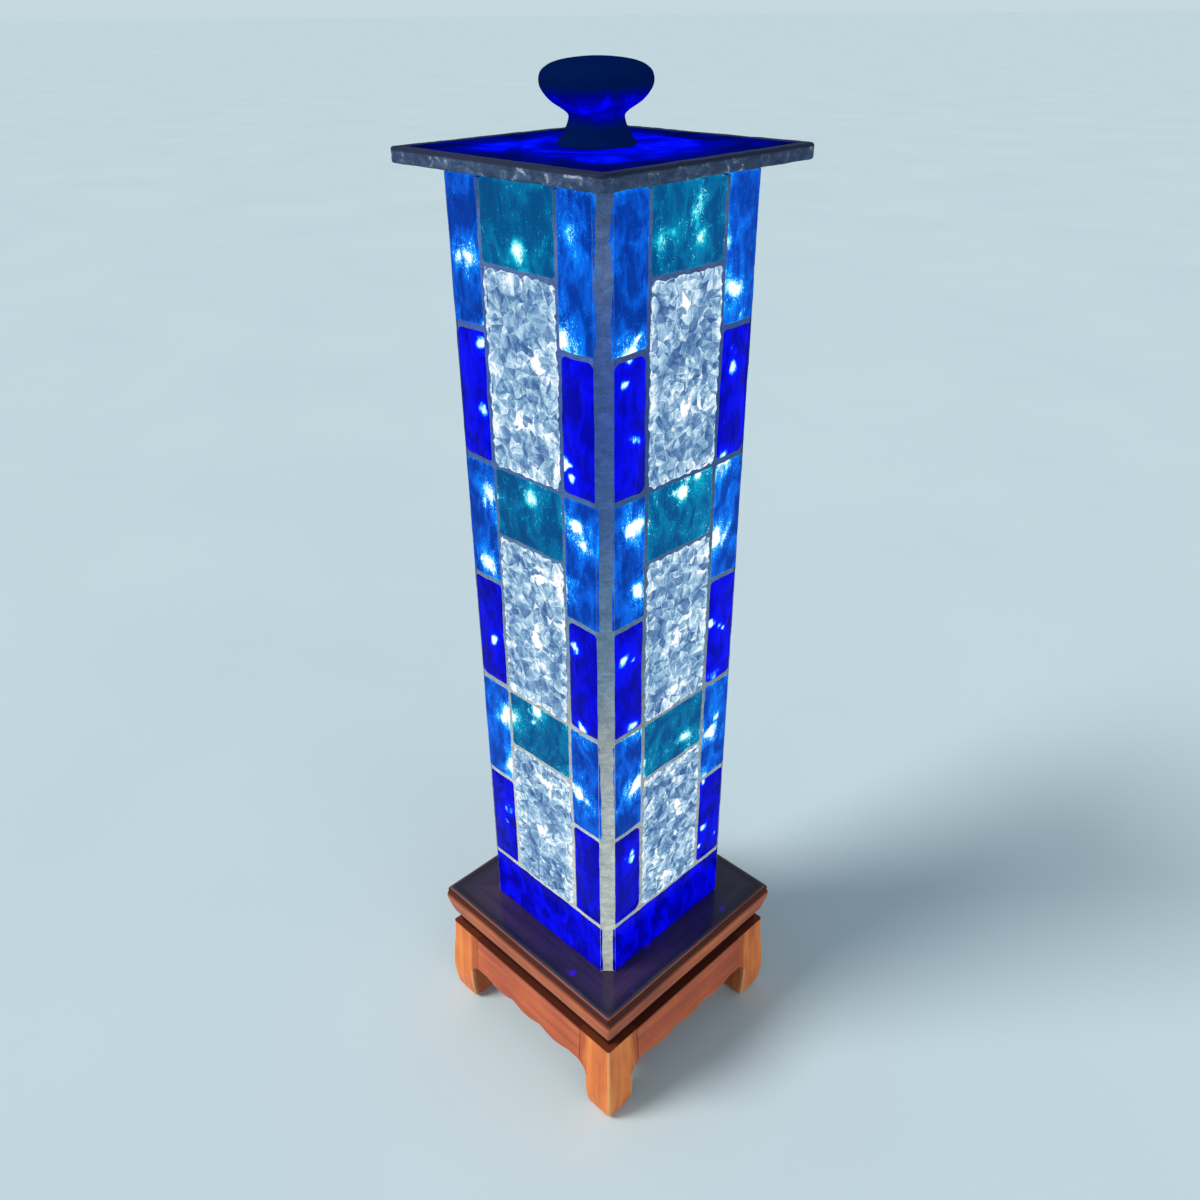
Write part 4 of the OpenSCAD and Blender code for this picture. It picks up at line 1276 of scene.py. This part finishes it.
def stand():
    wood = varnished_wood("apron_wood", (0.34, 0.07, 0.035), (0.54, 0.115, 0.05),
                          (0.74, 0.19, 0.06), 0.05)
    limb = varnished_wood("leg_wood", (0.5, 0.11, 0.035), (0.85, 0.225, 0.055),
                          (0.95, 0.36, 0.09), 0.05)
    # Painted shade: the waist rails, set back in shadow under the board, get a near-black copy of
    # the wood.
    shade = varnished_wood("shaded_waist_wood", (0.03, 0.01, 0.014), (0.05, 0.018, 0.024),
                           (0.09, 0.03, 0.035), 0.05)
    edge = varnished_wood("board_edge_wood", (0.2, 0.045, 0.028), (0.46, 0.1, 0.04),
                          (0.75, 0.2, 0.055), 0.03)
    # Painted reflection: the board top's colours carry a violet-blue cast for the glowing tiles
    # reflected in it.
    top = varnished_wood("board_top_wood", (0.012, 0.008, 0.022), (0.03, 0.016, 0.05),
                         (0.06, 0.028, 0.06), 0.5)
    stand_board({"edge": edge, "top": top})
    waist_rails(shade)
    for side, degrees in SIDES.items():
        apron(side, degrees, wood)
    for corner, degrees in CORNERS.items():
        leg(corner, degrees, limb)


MOULDED = {
    "knob_screw": ("screw_steel", (0.62, 0.6, 0.52), 0.3, 1.0),
    "knob_washer": ("washer_nylon", (0.78, 0.78, 0.74), 0.5),
    "battery_box": ("box_plastic", (0.84, 0.84, 0.8), 0.45),
    "battery_cover": ("cover_plastic", (0.85, 0.85, 0.81), 0.42),
    "battery_contacts": ("contact_metal", (0.72, 0.73, 0.74), 0.25, 1.0),
    "switch_slider": ("switch_plastic", (0.02, 0.021, 0.024), 0.4),
    "light_wire": ("wire_plastic", (0.75, 0.78, 0.78), 0.35),
}
BLOCK_WOOD = (0.3, 0.19, 0.1), (0.46, 0.3, 0.17), (0.6, 0.42, 0.26)


def carried_nodes():
    """Frame nodes whose shape is right keep it and get a finished material."""
    materials = {node: moulded(*look) for node, look in MOULDED.items()}
    materials |= {
        "stand_corner_blocks": varnished_wood("block_wood", *BLOCK_WOOD, 0.0, carved=False),
        "glass_vase": vase_glass(), "lid_locating_strips": clear_acrylic(),
        "battery_cells": cell_sleeve(), "light_bulbs": bulb_glow()}
    for node, material in materials.items():
        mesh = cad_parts[node].data
        if not mesh.materials:
            mesh.materials.append(material)
        for index in range(len(mesh.materials)):
            mesh.materials[index] = material


camera()
studio()
stand()
tower()
lid()
carried_nodes()
